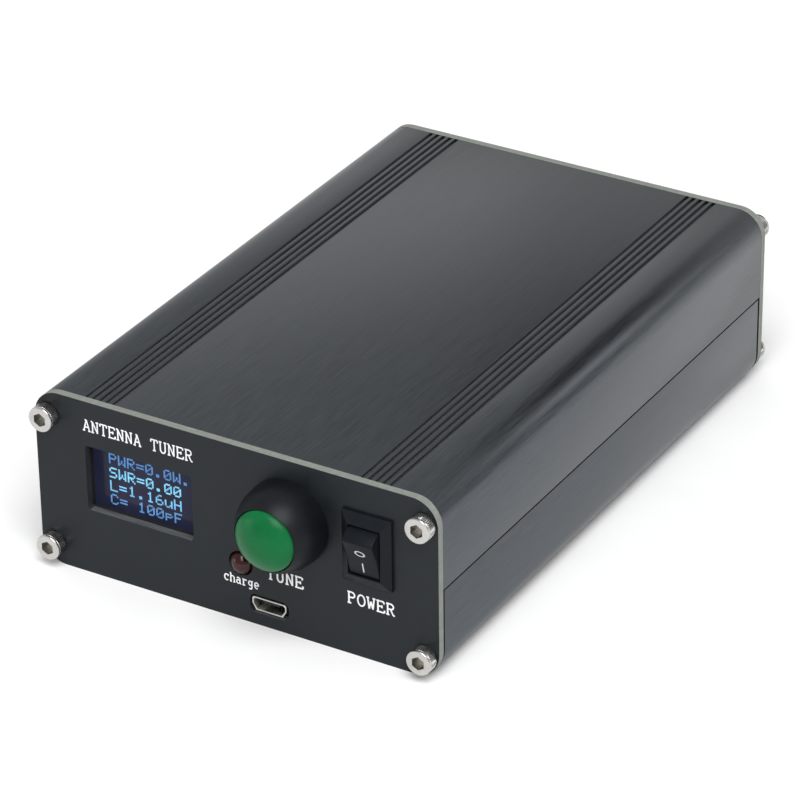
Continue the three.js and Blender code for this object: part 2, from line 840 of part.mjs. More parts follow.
/** One solder blade of the power switch. */
function switchBlade(side) {
  const start = frontY + switchWellDepth + switchBladeInset;
  const z = rockerZ + (side * switchBladeSpacing) / 2;
  const end = frontY + switchBodyDepth + switchBladeReach;
  return boxAt(rockerX, start, z, bladeWidth, end - start, bladeThickness);
}

// ---------------------------------------------------------------- charging parts

/** Charge light: lens, flange behind the panel and two legs. */
function chargeLight() {
  const centre = frontY - ledReach + ledRadius;
  const flangeStart = panelBackY + ledPanelGap;
  const rear = flangeStart + ledFlangeThickness;
  const outline = [];
  const steps = 5;
  for (let i = 0; i <= steps; i += 1) {
    const angle = (90 * degrees * i) / steps;
    outline.push([ledRadius * Math.sin(angle), centre - ledRadius * Math.cos(angle)]);
  }
  outline[0][0] = 0;
  outline.push([ledRadius, flangeStart], [ledFlangeRadius, flangeStart], [ledFlangeRadius, rear], [0, rear]);
  const legs = [-1, 1].map((side) => boxAt(
    ledX + (side * ledLegPitch) / 2,
    rear - 0.5,
    ledZ,
    ledLegSize,
    ledLegLength,
    ledLegSize,
  ));
  return join([turned(ledX, ledZ, outline, roundSegments), ...legs]);
}

/** Outline of the charging socket, grown outwards by the given amount. */
function usbOutline(grow) {
  const top = usbTopZ + grow;
  const bottom = usbTopZ - usbHeight - grow;
  const wide = usbWidth / 2 + grow;
  const narrow = usbNarrowWidth / 2 + grow;
  const shoulder = usbTopZ - usbShoulder;
  const soft = 0.35;
  return shapeOf([
    [usbX + wide - soft, top],
    [usbX - wide + soft, top],
    [usbX - wide, top - soft],
    [usbX - wide, shoulder],
    [usbX - narrow, bottom],
    [usbX + narrow, bottom],
    [usbX + wide, shoulder],
    [usbX + wide, top - soft],
  ]);
}

/** Metal shell of the charging socket, closed at the back. */
function usbShell() {
  const outside = alongY(usbOutline(0), frontY, usbDepth);
  const inside = alongY(usbOutline(-usbWall), frontY - 1, usbDepth + 1 - usbWall);
  return outside.subtract(inside);
}

/** Plastic contact tongue inside the charging socket. */
function usbTongue() {
  const start = frontY + usbTongueRecess;
  const length = frontY + usbDepth - usbWall - usbTongueGap - start;
  const z = usbTopZ - usbWall - usbTongueDrop - usbTongueThickness / 2;
  return boxAt(usbX, start, z, usbTongueWidth, length, usbTongueThickness);
}

/** Charging board under the charging socket, with its controller chip. */
function chargeBoard() {
  const start = panelBackY + chargeBoardInset;
  const top = usbTopZ - usbHeight - chargeBoardGap;
  const z = top - chargeBoardThickness / 2;
  const overlap = 0.1;
  const onBoard = (x, setback, [width, length, height]) => boxAt(
    x,
    start + setback,
    top + (height - overlap) / 2,
    width,
    length,
    height + overlap,
  );
  return join([
    boxAt(usbX, start, z, chargeBoardWidth, chargeBoardLength, chargeBoardThickness),
    onBoard(usbX, chargeChipSetback, chargeChipSize),
    onBoard(usbX + chargeCoilOffset, chargeCoilSetback, chargeCoilSize),
  ]);
}

/** Flat rechargeable cell between the floor and the main board. */
function battery() {
  const z = wallThickness + batteryFloorGap + batteryThickness / 2;
  const outline = roundedRectangle(0, z, batteryWidth, batteryThickness, batteryThickness / 2 - 0.1);
  return alongY(outline, batteryY - batteryLength / 2, batteryLength, 4);
}

// ---------------------------------------------------------------- main board

const boardTopZ = boardUndersideZ + boardThickness;

/** Main circuit board, held in the slots of the lower case half. */
function mainBoard() {
  const width = caseWidth - 2 * wallThickness - 2 * boardSideClearance;
  return boxAt(0, boardFrontY, boardUndersideZ + boardThickness / 2, width, boardLength, boardThickness);
}

/** One sealed relay with softened upright edges. */
function relay(x, y) {
  const shape = roundedRectangle(0, 0, relayLength, relayWidth, 0.8);
  const options = { depth: relayHeight, bevelEnabled: false, curveSegments: 2 };
  const geometry = new THREE.ExtrudeGeometry(shape, options);
  geometry.translate(x, y, boardTopZ);
  return solid(geometry);
}

/** One wound ring inductor lying on the board. */
function inductor(x, y) {
  const soft = 1.2;
  const [outer, inner] = [inductorOuterRadius, inductorInnerRadius];
  const outline = [
    [inner, soft],
    [inner + soft, 0],
    [outer - soft, 0],
    [outer, soft],
    [outer, inductorThickness - soft],
    [outer - soft, inductorThickness],
    [inner + soft, inductorThickness],
    [inner, inductorThickness - soft],
  ];
  const points = outline.map(([radius, z]) => new THREE.Vector2(radius, z));
  points.push(points[0].clone());
  const geometry = new THREE.LatheGeometry(points, roundSegments);
  geometry.rotateX(Math.PI / 2);
  geometry.translate(x, y, boardTopZ);
  return solid(geometry);
}

/** Two-hole ferrite block of the directional coupler. */
function coupler() {
  const z = boardTopZ + couplerHeight / 2;
  const start = couplerY - couplerLength / 2;
  const outline = roundedRectangle(0, z, couplerWidth, couplerHeight, couplerHeight / 2 - 0.1);
  const block = alongY(outline, start, couplerLength);
  const holes = [-1, 1].map((side) => rodAt(
    (side * couplerWidth) / 4,
    start - 1,
    z,
    couplerHoleRadius,
    couplerLength + 2,
    smallSegments,
  ));
  return cut(block, holes);
}

/** Dual-in-line control chip with its legs. */
function controlChip() {
  const z = boardTopZ + chipStandOff + chipHeight / 2;
  const bodyStart = chipY - chipLength / 2;
  const parts = [boxAt(chipX, bodyStart, z, chipWidth, chipLength, chipHeight)];
  for (let i = 0; i < chipLegCount; i += 1) {
    const y = chipY + (i - (chipLegCount - 1) / 2) * chipPitch;
    const legHeight = z - boardTopZ + chipLegWidth / 2;
    for (const side of [-1, 1]) {
      const x = chipX + (side * (chipWidth + chipLegWidth)) / 2;
      const legZ = boardTopZ + legHeight / 2;
      parts.push(boxAt(x, y - chipLegWidth / 2, legZ, chipLegWidth + 0.1, chipLegWidth, legHeight));
    }
  }
  return join(parts);
}

// ---------------------------------------------------------------- coaxial sockets

/** Socket body: square flange, threaded barrel with notches, and the boss behind the flange. */
function socketBody(x) {
  const flangeRear = rearY + flangeThickness;
  const mouth = flangeRear + barrelLength;
  const back = rearY - panelThickness - socketRearReach;
  const overlap = 0.2;
  const outline = roundedRectangle(x, socketZ, flangeSize, flangeSize, flangeCorner);
  const flange = alongY(outline, rearY, flangeThickness, 3);
  const barrel = rodAt(x, flangeRear - overlap, socketZ, barrelRadius, barrelLength + overlap, fineSegments);
  const boss = rodAt(x, back, socketZ, socketRearRadius, rearY - back + overlap, fineSegments);
  const front = flangeRear + insulatorReach;
  const tools = [
    rodAt(x, back - 1, socketZ, insulatorBore, mouth - back + 2, fineSegments),
    rodAt(x, front, socketZ, barrelBore, mouth - front + 1, fineSegments),
  ];
  const reach = 2 * barrelRadius + 2;
  tools.push(boxAt(x, mouth - barrelNotchDepth, socketZ, reach, barrelNotchDepth + 1, barrelNotch));
  tools.push(boxAt(x, mouth - barrelNotchDepth, socketZ, barrelNotch, barrelNotchDepth + 1, reach));
  for (const [dx, dz] of flangeHolePlaces()) {
    tools.push(rodAt(x + dx, rearY - 1, socketZ + dz, flangeHoleRadius, flangeThickness + 2, smallSegments));
  }
  return cut(join([flange, barrel, boss]), tools);
}

/** Insulator inside the socket body. */
function socketInsulator(x) {
  const start = rearY - panelThickness - socketRearReach - insulatorRear;
  const shoulder = rearY + flangeThickness + insulatorReach;
  const nose = shoulder + 2.2;
  return turned(x, socketZ, [
    [insulatorHole, start],
    [insulatorRadius - 0.8, start],
    [insulatorRadius, start + 0.8],
    [insulatorRadius, shoulder - 0.4],
    [insulatorRadius - 0.4, shoulder],
    [insulatorRadius - 1.6, nose],
    [insulatorHole, nose],
  ], roundSegments);
}

/** Centre contact: a tube open at the mouth, with a solder end inside the case. */
function socketContact(x) {
  const mouth = rearY + flangeThickness + barrelLength - contactRecess;
  const start = rearY - panelThickness - socketRearReach - insulatorRear - contactRear;
  return turned(x, socketZ, [
    [0, start],
    [contactRadius - 0.5, start],
    [contactRadius, start + 0.5],
    [contactRadius, mouth - 0.3],
    [contactRadius - 0.2, mouth],
    [contactBore, mouth],
    [contactBore, mouth - contactBoreDepth],
    [0, mouth - contactBoreDepth],
  ], roundSegments);
}

/** Steel plate behind the rear panel that takes the four flange screws. */
function socketBacking(x) {
  const start = rearY - panelThickness - backingThickness;
  const outline = roundedRectangle(x, socketZ, backingSize, backingSize, flangeCorner);
  const tools = [
    rodAt(x, start - 1, socketZ, socketRearRadius + socketPanelClearance, backingThickness + 2, fineSegments),
  ];
  for (const [dx, dz] of flangeHolePlaces()) {
    const radius = socketScrewShankRadius + 0.1;
    tools.push(rodAt(x + dx, start - 1, socketZ + dz, radius, backingThickness + 2, smallSegments));
  }
  return cut(alongY(outline, start, backingThickness, 3), tools);
}

/** Slotted pan-head screw of a socket flange. */
function flangeScrew(x, z) {
  const face = rearY + flangeThickness;
  const tip = face - socketScrewLength;
  const crown = face + socketScrewHeadHeight;
  const screw = turned(x, z, [
    [0, tip],
    [socketScrewShankRadius, tip],
    [socketScrewShankRadius, face],
    [socketScrewHeadRadius, face],
    [socketScrewHeadRadius, face + socketScrewHeadHeight * 0.45],
    [socketScrewHeadRadius * 0.8, crown - 0.15],
    [socketScrewHeadRadius * 0.5, crown],
    [0, crown],
  ], roundSegments);
  const across = boxAt(x, crown - 0.8, z, 2 * socketScrewHeadRadius + 1, 1.8, socketScrewSlot);
  return screw.subtract(across);
}

// ---------------------------------------------------------------- assembly

const group = new THREE.Group();
group.name = 'antenna_tuner';

/** Adds one named piece to a group. */
function addPiece(parent, name, manifold, material) {
  const mesh = new THREE.Mesh(geometryOf(manifold), material);
  mesh.name = name;
  parent.add(mesh);
}

/** Adds a nested group for one sub-assembly. */
function addAssembly(name) {
  const assembly = new THREE.Group();
  assembly.name = name;
  group.add(assembly);
  return assembly;
}

const caseAssembly = addAssembly('case_assembly');
addPiece(caseAssembly, 'top_cover', topCover(), finishes.anodised());
addPiece(caseAssembly, 'bottom_cover', bottomCover(), finishes.anodised());
addPiece(caseAssembly, 'front_panel', frontPanel(), finishes.panel());
addPiece(caseAssembly, 'rear_panel', rearPanel(), finishes.panel());
panelScrewPlaces().forEach(([x, z], i) => {
  addPiece(caseAssembly, `front_screw_${i + 1}`, capScrew(x, z, frontY, -1), finishes.steel());
  addPiece(caseAssembly, `rear_screw_${i + 1}`, capScrew(x, z, rearY, 1), finishes.steel());
});

const displayAssembly = addAssembly('display_assembly');
addPiece(displayAssembly, 'display_gasket', displayGasket(), finishes.foam());
addPiece(displayAssembly, 'display_glass', displayGlass(), finishes.glass());
addPiece(displayAssembly, 'display_board', displayBoard(), finishes.blueBoard());
addPiece(displayAssembly, 'display_header', displayHeader(), finishes.blackPlastic());

const buttonAssembly = addAssembly('button_assembly');
addPiece(buttonAssembly, 'tune_button_body', buttonBody(), finishes.blackPlastic());
addPiece(buttonAssembly, 'tune_button_cap', buttonCap(), finishes.greenPlastic());
addPiece(buttonAssembly, 'tune_button_spring', buttonSpring(), finishes.steel());
addPiece(buttonAssembly, 'tune_button_contact', buttonContact(), finishes.copper());
addPiece(buttonAssembly, 'tune_button_nut', buttonNut(), finishes.nickel());
addPiece(buttonAssembly, 'tune_button_blade_1', buttonBlade(-1), finishes.tin());
addPiece(buttonAssembly, 'tune_button_blade_2', buttonBlade(1), finishes.tin());

const switchAssembly = addAssembly('switch_assembly');
addPiece(switchAssembly, 'power_switch_body', switchBody(), finishes.blackPlastic());
addPiece(switchAssembly, 'power_rocker', powerRocker(), finishes.blackPlastic());
addPiece(switchAssembly, 'power_switch_blade_1', switchBlade(-1), finishes.tin());
addPiece(switchAssembly, 'power_switch_blade_2', switchBlade(1), finishes.tin());

const chargeAssembly = addAssembly('charge_assembly');
addPiece(chargeAssembly, 'charge_light', chargeLight(), finishes.redLens());
addPiece(chargeAssembly, 'charge_board', chargeBoard(), finishes.blueBoard());
addPiece(chargeAssembly, 'charge_socket_shell', usbShell(), finishes.nickel());
addPiece(chargeAssembly, 'charge_socket_tongue', usbTongue(), finishes.blackPlastic());
addPiece(chargeAssembly, 'battery', battery(), finishes.cell());

const boardAssembly = addAssembly('board_assembly');
addPiece(boardAssembly, 'main_board', mainBoard(), finishes.board());
addPiece(boardAssembly, 'control_chip', controlChip(), finishes.blackPlastic());
addPiece(boardAssembly, 'coupler_core', coupler(), finishes.darkFerrite());
for (let i = 0; i < relayCount; i += 1) {
  const y = relayFirstY + i * relayPitch;
  addPiece(boardAssembly, `relay_left_${i + 1}`, relay(-relayColumnX, y), finishes.relayPlastic());
}
for (let i = 0; i < 2; i += 1) {
  const y = relayFirstY + i * relayPitch;
  addPiece(boardAssembly, `relay_right_${i + 1}`, relay(relayColumnX, y), finishes.relayPlastic());
}
for (let i = 0; i < 2; i += 1) {
  const y = inductorFirstY + i * inductorPitch;
  addPiece(boardAssembly, `inductor_left_${i + 1}`, inductor(-inductorPitch / 2, y), finishes.ferrite());
  addPiece(boardAssembly, `inductor_right_${i + 1}`, inductor(inductorPitch / 2, y), finishes.ferrite());
}

const socketAssembly = addAssembly('socket_assembly');
for (const [name, x] of socketPlaces) {
  addPiece(socketAssembly, `${name}_body`, socketBody(x), finishes.nickel());
  addPiece(socketAssembly, `${name}_insulator`, socketInsulator(x), finishes.insulator());
  addPiece(socketAssembly, `${name}_contact`, socketContact(x), finishes.brass());
  addPiece(socketAssembly, `${name}_backing`, socketBacking(x), finishes.steel());
  flangeHolePlaces().forEach(([dx, dz], i) => {
    addPiece(socketAssembly, `${name}_screw_${i + 1}`, flangeScrew(x + dx, socketZ + dz), finishes.steel());
  });
}

export default group;
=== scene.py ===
"""Looks of a small antenna tuner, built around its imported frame.

Lengths are in metres in the scene and in millimetres in the size fields. +X runs right along the
front panel, the front panel faces -Y and +Z is up.
"""

from __future__ import annotations

import json
import logging
import math
from dataclasses import dataclass, field
from enum import Enum
from typing import Any, Callable, Iterable, Sequence

import bmesh
import bpy
from mathutils import Matrix, Vector

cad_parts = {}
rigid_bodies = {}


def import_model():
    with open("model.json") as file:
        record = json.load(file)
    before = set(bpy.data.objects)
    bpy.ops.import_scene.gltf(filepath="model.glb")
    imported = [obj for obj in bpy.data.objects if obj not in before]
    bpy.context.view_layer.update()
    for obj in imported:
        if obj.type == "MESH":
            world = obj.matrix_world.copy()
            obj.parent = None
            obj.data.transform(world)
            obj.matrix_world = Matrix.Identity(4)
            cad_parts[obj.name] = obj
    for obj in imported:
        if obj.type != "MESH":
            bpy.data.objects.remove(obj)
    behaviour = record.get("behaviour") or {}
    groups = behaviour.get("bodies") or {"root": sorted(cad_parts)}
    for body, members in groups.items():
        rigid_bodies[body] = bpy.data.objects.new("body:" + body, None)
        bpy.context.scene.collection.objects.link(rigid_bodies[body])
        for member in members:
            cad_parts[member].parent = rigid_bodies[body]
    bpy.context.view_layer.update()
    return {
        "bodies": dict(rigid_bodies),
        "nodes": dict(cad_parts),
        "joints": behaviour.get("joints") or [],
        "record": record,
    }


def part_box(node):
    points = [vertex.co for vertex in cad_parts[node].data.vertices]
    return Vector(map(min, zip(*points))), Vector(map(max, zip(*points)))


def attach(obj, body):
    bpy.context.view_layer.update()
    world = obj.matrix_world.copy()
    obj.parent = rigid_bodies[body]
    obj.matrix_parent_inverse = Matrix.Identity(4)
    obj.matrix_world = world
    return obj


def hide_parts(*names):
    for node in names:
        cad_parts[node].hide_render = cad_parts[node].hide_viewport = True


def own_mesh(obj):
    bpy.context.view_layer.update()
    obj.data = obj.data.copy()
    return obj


MM = 0.001
AXIS_TOLERANCE = 0.9
CASE_BODY = "case"
BUTTON_BODY = "button"
ROCKER_BODY = "rocker"
SOCKETS = ("rf_input", "rf_output")
THREAD_CREST = (0.42, 0.58)
MERGE_ANGLE = 0.5
ARC_STEP = 20
PEN_CORNER = 50
SAME_POINT = 1e-6
CELL_WIDTH = 5.7
CAPITAL_HEIGHT = 7
INK_FLATNESS = 0.08
SLACK = 0.05

Triple = tuple[float, float, float]
Profile = Sequence[tuple[float, float]]
log = logging.getLogger("antenna_tuner")


# ---------------------------------------------------------------- workbench


def lay_down_tools() -> None:
    """Leaves edit mode and deselects every object."""
    if bpy.context.object and bpy.context.object.mode != "OBJECT":
        bpy.ops.object.mode_set(mode="OBJECT")
    bpy.ops.object.select_all(action="DESELECT")


def pick_up(*pieces: bpy.types.Object) -> None:
    """Selects some pieces alone and makes the first of them active.

    Args:
        pieces: the pieces to select.
    """
    lay_down_tools()
    for piece in pieces:
        piece.select_set(True)
    bpy.context.view_layer.objects.active = pieces[0]


def settle(name: str) -> bpy.types.Object:
    """Names the active object and moves its place, turn and scale into its mesh.

    Args:
        name: the piece's name.

    Returns:
        The piece, which now sits at the origin.
    """
    piece = bpy.context.object
    piece.name = name
    piece.data.name = name
    pick_up(piece)
    bpy.ops.object.transform_apply(location=True, rotation=True, scale=True)
    return piece


class Bench:
    """Edit mode on one piece, with elements chosen by their place and direction."""

    def __init__(self, piece: bpy.types.Object, mode: str = "FACE") -> None:
        """Keeps the piece and the kind of element to work on.

        Args:
            piece: the piece to edit.
            mode: VERT, EDGE or FACE.
        """
        self.piece = piece
        self.mode = mode

    def __enter__(self) -> "Bench":
        """Enters edit mode with nothing selected."""
        pick_up(self.piece)
        bpy.ops.object.mode_set(mode="EDIT")
        bpy.ops.mesh.select_mode(type=self.mode)
        bpy.ops.mesh.select_all(action="DESELECT")
        return self

    def __exit__(self, *_error: object) -> None:
        """Returns to object mode."""
        bpy.ops.object.mode_set(mode="OBJECT")

    def faces(self, test: Callable[[Vector, Vector], bool]) -> None:
        """Selects the faces whose centre (mm) and normal pass a test, and no others."""
        mesh = bmesh.from_edit_mesh(self.piece.data)
        for face in mesh.faces:
            face.select_set(test(face.calc_center_median() / MM, face.normal))
        mesh.select_flush_mode()
        bmesh.update_edit_mesh(self.piece.data)

    def edges(self, test: Callable[[Vector, Vector], bool]) -> None:
        """Selects the edges whose middle (mm) and direction pass a test, and no others."""
        mesh = bmesh.from_edit_mesh(self.piece.data)
        bpy.ops.mesh.select_all(action="DESELECT")
        for edge in mesh.edges:
            start, end = (vert.co for vert in edge.verts)
            if test((start + end) / 2 / MM, (end - start).normalized()):
                edge.select_set(True)
        bmesh.update_edit_mesh(self.piece.data)

    def verts(self, test: Callable[[Vector], bool]) -> None:
        """Selects the vertices whose place (mm) passes a test, and no others."""
        mesh = bmesh.from_edit_mesh(self.piece.data)
        bpy.ops.mesh.select_all(action="DESELECT")
        for vert in mesh.verts:
            if test(vert.co / MM):
                vert.select_set(True)
        bmesh.update_edit_mesh(self.piece.data)


def block(name: str, low: Sequence[float], high: Sequence[float]) -> bpy.types.Object:
    """Adds a box between two corners given in millimetres.

    Args:
        name: the piece's name.
        low: the lowest corner.
        high: the highest corner.

    Returns:
        The new piece.
    """
    lay_down_tools()
    bottom, top = Vector(low) * MM, Vector(high) * MM
    bpy.ops.mesh.primitive_cube_add(size=1, location=(bottom + top) / 2)
    bpy.context.object.scale = top - bottom
    return settle(name)


def rod(
    name: str, x: float, z: float, radius: float, span: Sequence[float], sides: int = 48
) -> bpy.types.Object:
    """Adds a cylinder along Y, used as a cutting tool or a start.

    Args:
        name: the piece's name.
        x: the axis's X in millimetres.
        z: the axis's Z in millimetres.
        radius: the radius in millimetres.
        span: the two end values of Y in millimetres.
        sides: the number of sides.

    Returns:
        The new piece.
    """
    lay_down_tools()
    bpy.ops.mesh.primitive_cylinder_add(
        vertices=sides,
        radius=radius * MM,
        depth=abs(span[1] - span[0]) * MM,
        location=Vector((x, (span[0] + span[1]) / 2, z)) * MM,
        rotation=(math.pi / 2, 0, 0),
    )
    return settle(name)


def punch(
    x: float, z: float, width: float, height: float, span: Sequence[float]
) -> bpy.types.Object:
    """Adds a box along Y, used as a cutting tool.

    Args:
        x: the middle's X in millimetres.
        z: the middle's Z in millimetres.
        width: the size along X.
        height: the size along Z.
        span: the lower and the higher end value of Y.

    Returns:
        The new tool.
    """
    low = (x - width / 2, span[0], z - height / 2)
    return block("punch", low, (x + width / 2, span[1], z + height / 2))


def crossed_punches(
    place: Vector, reach: float, width: float, span: Sequence[float]
) -> list[bpy.types.Object]:
    """Adds two narrow boxes that cross each other on an axis along Y.

    Args:
        place: a point of the axis in millimetres.
        reach: how far each box reaches to either side.
        width: the width of each box.
        span: the lower and the higher end value of Y.

    Returns:
        The two tools.
    """
    return [
        punch(place.x, place.z, 2 * reach, width, span),
        punch(place.x, place.z, width, 2 * reach, span),
    ]


def turn_profile(
    name: str, x: float, z: float, profile: Profile, sides: int = 64
) -> bpy.types.Object:
    """Turns a profile about an axis along Y by extruding one ring after another.

    A profile that ends on a radius of zero closes there with a pole, and any other profile closes on
    itself.

    Args:
        name: the piece's name.
        x: the axis's X in millimetres.
        z: the axis's Z in millimetres.
        profile: the (radius, y) points in millimetres.
        sides: the number of sides of each ring.

    Returns:
        The new piece.
    """
    lay_down_tools()
    points = list(profile)
    first_pole = points[0][0] == 0
    last_pole = points[-1][0] == 0
    rings = points[1:] if first_pole else points
    rings = rings[:-1] if last_pole else rings
    radius, y = rings[0]
    bpy.ops.mesh.primitive_circle_add(
        vertices=sides,
        radius=radius * MM,
        location=Vector((x, y, z)) * MM,
        rotation=(math.pi / 2, 0, 0),
    )
    piece = settle(name)
    with Bench(piece, "EDGE"):
        bpy.ops.mesh.select_all(action="SELECT")
        for next_radius, next_y in rings[1:]:
            extend_ring((x, y, z), next_y - y, next_radius / radius)
            radius, y = next_radius, next_y
        if last_pole:
            extend_ring((x, y, z), points[-1][1] - y, 1)
            bpy.ops.mesh.merge(type="CENTER")
        if first_pole:
            start = rings[0][1]
            bpy.ops.mesh.select_all(action="DESELECT")
            bpy.ops.mesh.select_non_manifold()
            extend_ring((x, start, z), points[0][1] - start, 1)
            bpy.ops.mesh.merge(type="CENTER")
        if not first_pole and not last_pole:
            bpy.ops.mesh.select_all(action="DESELECT")
            bpy.ops.mesh.select_non_manifold()
            bpy.ops.mesh.bridge_edge_loops()
        bpy.ops.mesh.select_all(action="SELECT")
        bpy.ops.mesh.normals_make_consistent(inside=False)
    return piece


def extend_ring(centre: Triple, step: float, ratio: float) -> None:
    """Extrudes the selected ring along Y and scales the new ring about its axis.

    Args:
        centre: the ring's centre in millimetres.
        step: the move along Y in millimetres.
        ratio: the new radius over the old one.
    """
    bpy.ops.mesh.extrude_region_move(TRANSFORM_OT_translate={"value": (0, step * MM, 0)})
    pivot = Vector((centre[0], centre[1] + step, centre[2])) * MM
    if ratio != 1:
        bpy.ops.transform.resize(value=(ratio, 1, ratio), center_override=pivot)


def thread_profile(
    radius: float, depth: float, pitch: float, start: float, end: float
) -> list[tuple[float, float]]:
    """Gives the zigzag of an outside thread between two values of Y.

    Args:
        radius: the crest radius in millimetres.
        depth: the depth from crest to root.
        pitch: the distance from crest to crest.
        start: Y of the first root.
        end: Y that the thread runs to.

    Returns:
        The (radius, y) points, from start to end.
    """
    direction = 1 if end > start else -1
    count = int(abs(end - start) / pitch)
    points = []
    for turn in range(count):
        base = start + direction * turn * pitch
        points.append((radius - depth, base))
        for share in THREAD_CREST:
            points.append((radius, base + direction * pitch * share))
    points.append((radius - depth, start + direction * count * pitch))
    return points


def carve(
    piece: bpy.types.Object, tools: Iterable[bpy.types.Object], operation: str = "DIFFERENCE"
) -> None:
    """Applies a boolean with each tool and removes the tool.

    Args:
        piece: the piece to change.
        tools: the tools, which are used up.
        operation: DIFFERENCE, UNION or INTERSECT.
    """
    for tool in tools:
        change = piece.modifiers.new("carve", "BOOLEAN")
        change.operation = operation
        change.object = tool
        change.solver = "EXACT"
        pick_up(piece)
        bpy.ops.object.modifier_apply(modifier=change.name)
        bpy.data.objects.remove(tool, do_unlink=True)


def ease_edges(
    piece: bpy.types.Object, width: float, segments: int = 2, angle: float = 35
) -> None:
    """Rounds the sharp edges of a piece and shades it smooth.

    Args:
        piece: the piece to finish.
        width: the width of the rounding in millimetres.
        segments: the number of facets across it.
        angle: the least angle between two faces, in degrees, that is rounded.
    """
    rounding = piece.modifiers.new("ease", "BEVEL")
    rounding.width = width * MM
    rounding.segments = segments
    rounding.limit_method = "ANGLE"
    rounding.angle_limit = math.radians(angle)
    rounding.use_clamp_overlap = True
    pick_up(piece)
    bpy.ops.object.modifier_apply(modifier=rounding.name)
    shade(piece)


def round_corners(piece: bpy.types.Object, radius: float, facets: int = 5) -> None:
    """Rounds the edges of a piece that run along Y.

    Args:
        piece: the piece to change.
        radius: the radius in millimetres.
        facets: the number of facets of each corner.
    """
    with Bench(piece, "EDGE") as bench:
        bench.edges(lambda _middle, way: abs(way.y) > AXIS_TOLERANCE)
        bpy.ops.mesh.bevel(offset=radius * MM, segments=facets)


def assign_finish(
    piece: bpy.types.Object, number: int, test: Callable[[Vector, Vector], bool]
) -> None:
    """Gives one of a piece's finishes to the faces that pass a test.

    Args:
        piece: the piece, which already has its materials.
        number: the place of the finish among them.
        test: tells by a face's centre (mm) and normal whether it is chosen.
    """
    with Bench(piece) as bench:
        bench.faces(test)
        piece.active_material_index = number
        bpy.ops.object.material_slot_assign()


def shade(piece: bpy.types.Object, angle: float = 35) -> None:
    """Shades a piece smooth, except across edges sharper than an angle in degrees."""
    pick_up(piece)
    bpy.ops.object.shade_smooth_by_angle(angle=math.radians(angle))


def weld(pieces: Sequence[bpy.types.Object], name: str) -> bpy.types.Object:
    """Joins several pieces into one mesh.

    Args:
        pieces: the pieces, the first of which stays.
        name: the name of the whole.

    Returns:
        The joined piece.
    """
    pick_up(*pieces)
    if len(pieces) > 1:
        bpy.ops.object.join()
    pieces[0].name = name
    pieces[0].data.name = name
    return pieces[0]


def duplicate(
    piece: bpy.types.Object, name: str, move: Triple, about_face: bool = False
) -> bpy.types.Object:
    """Copies a piece with a mesh of its own, moved and turned within the mesh.

    Args:
        piece: the piece to copy.
        name: the copy's name.
        move: the move in millimetres.
        about_face: whether the copy is first turned half round about Z.

    Returns:
        The copy, which sits at the origin.
    """
    pick_up(piece)
    bpy.ops.object.duplicate()
    copy = bpy.context.object
    if about_face:
        copy.rotation_euler = (0, 0, math.pi)
    copy.location = Vector(move) * MM
    return settle(name)


def merged_copy(node: str, name: str, spare: float = 0.001) -> bpy.types.Object:
    """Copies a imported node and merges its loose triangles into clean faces.

    Args:
        node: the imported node's name.
        name: the copy's name.
        spare: the merging distance in millimetres.

    Returns:
        The copy.
    """
    pick_up(bpy.data.objects[node])
    bpy.ops.object.duplicate()
    copy = settle(name)
    with Bench(copy, "VERT"):
        bpy.ops.mesh.select_all(action="SELECT")
        bpy.ops.mesh.remove_doubles(threshold=spare * MM)
        bpy.ops.mesh.dissolve_limited(angle_limit=math.radians(MERGE_ANGLE))
    return copy


# ---------------------------------------------------------------- material recipes


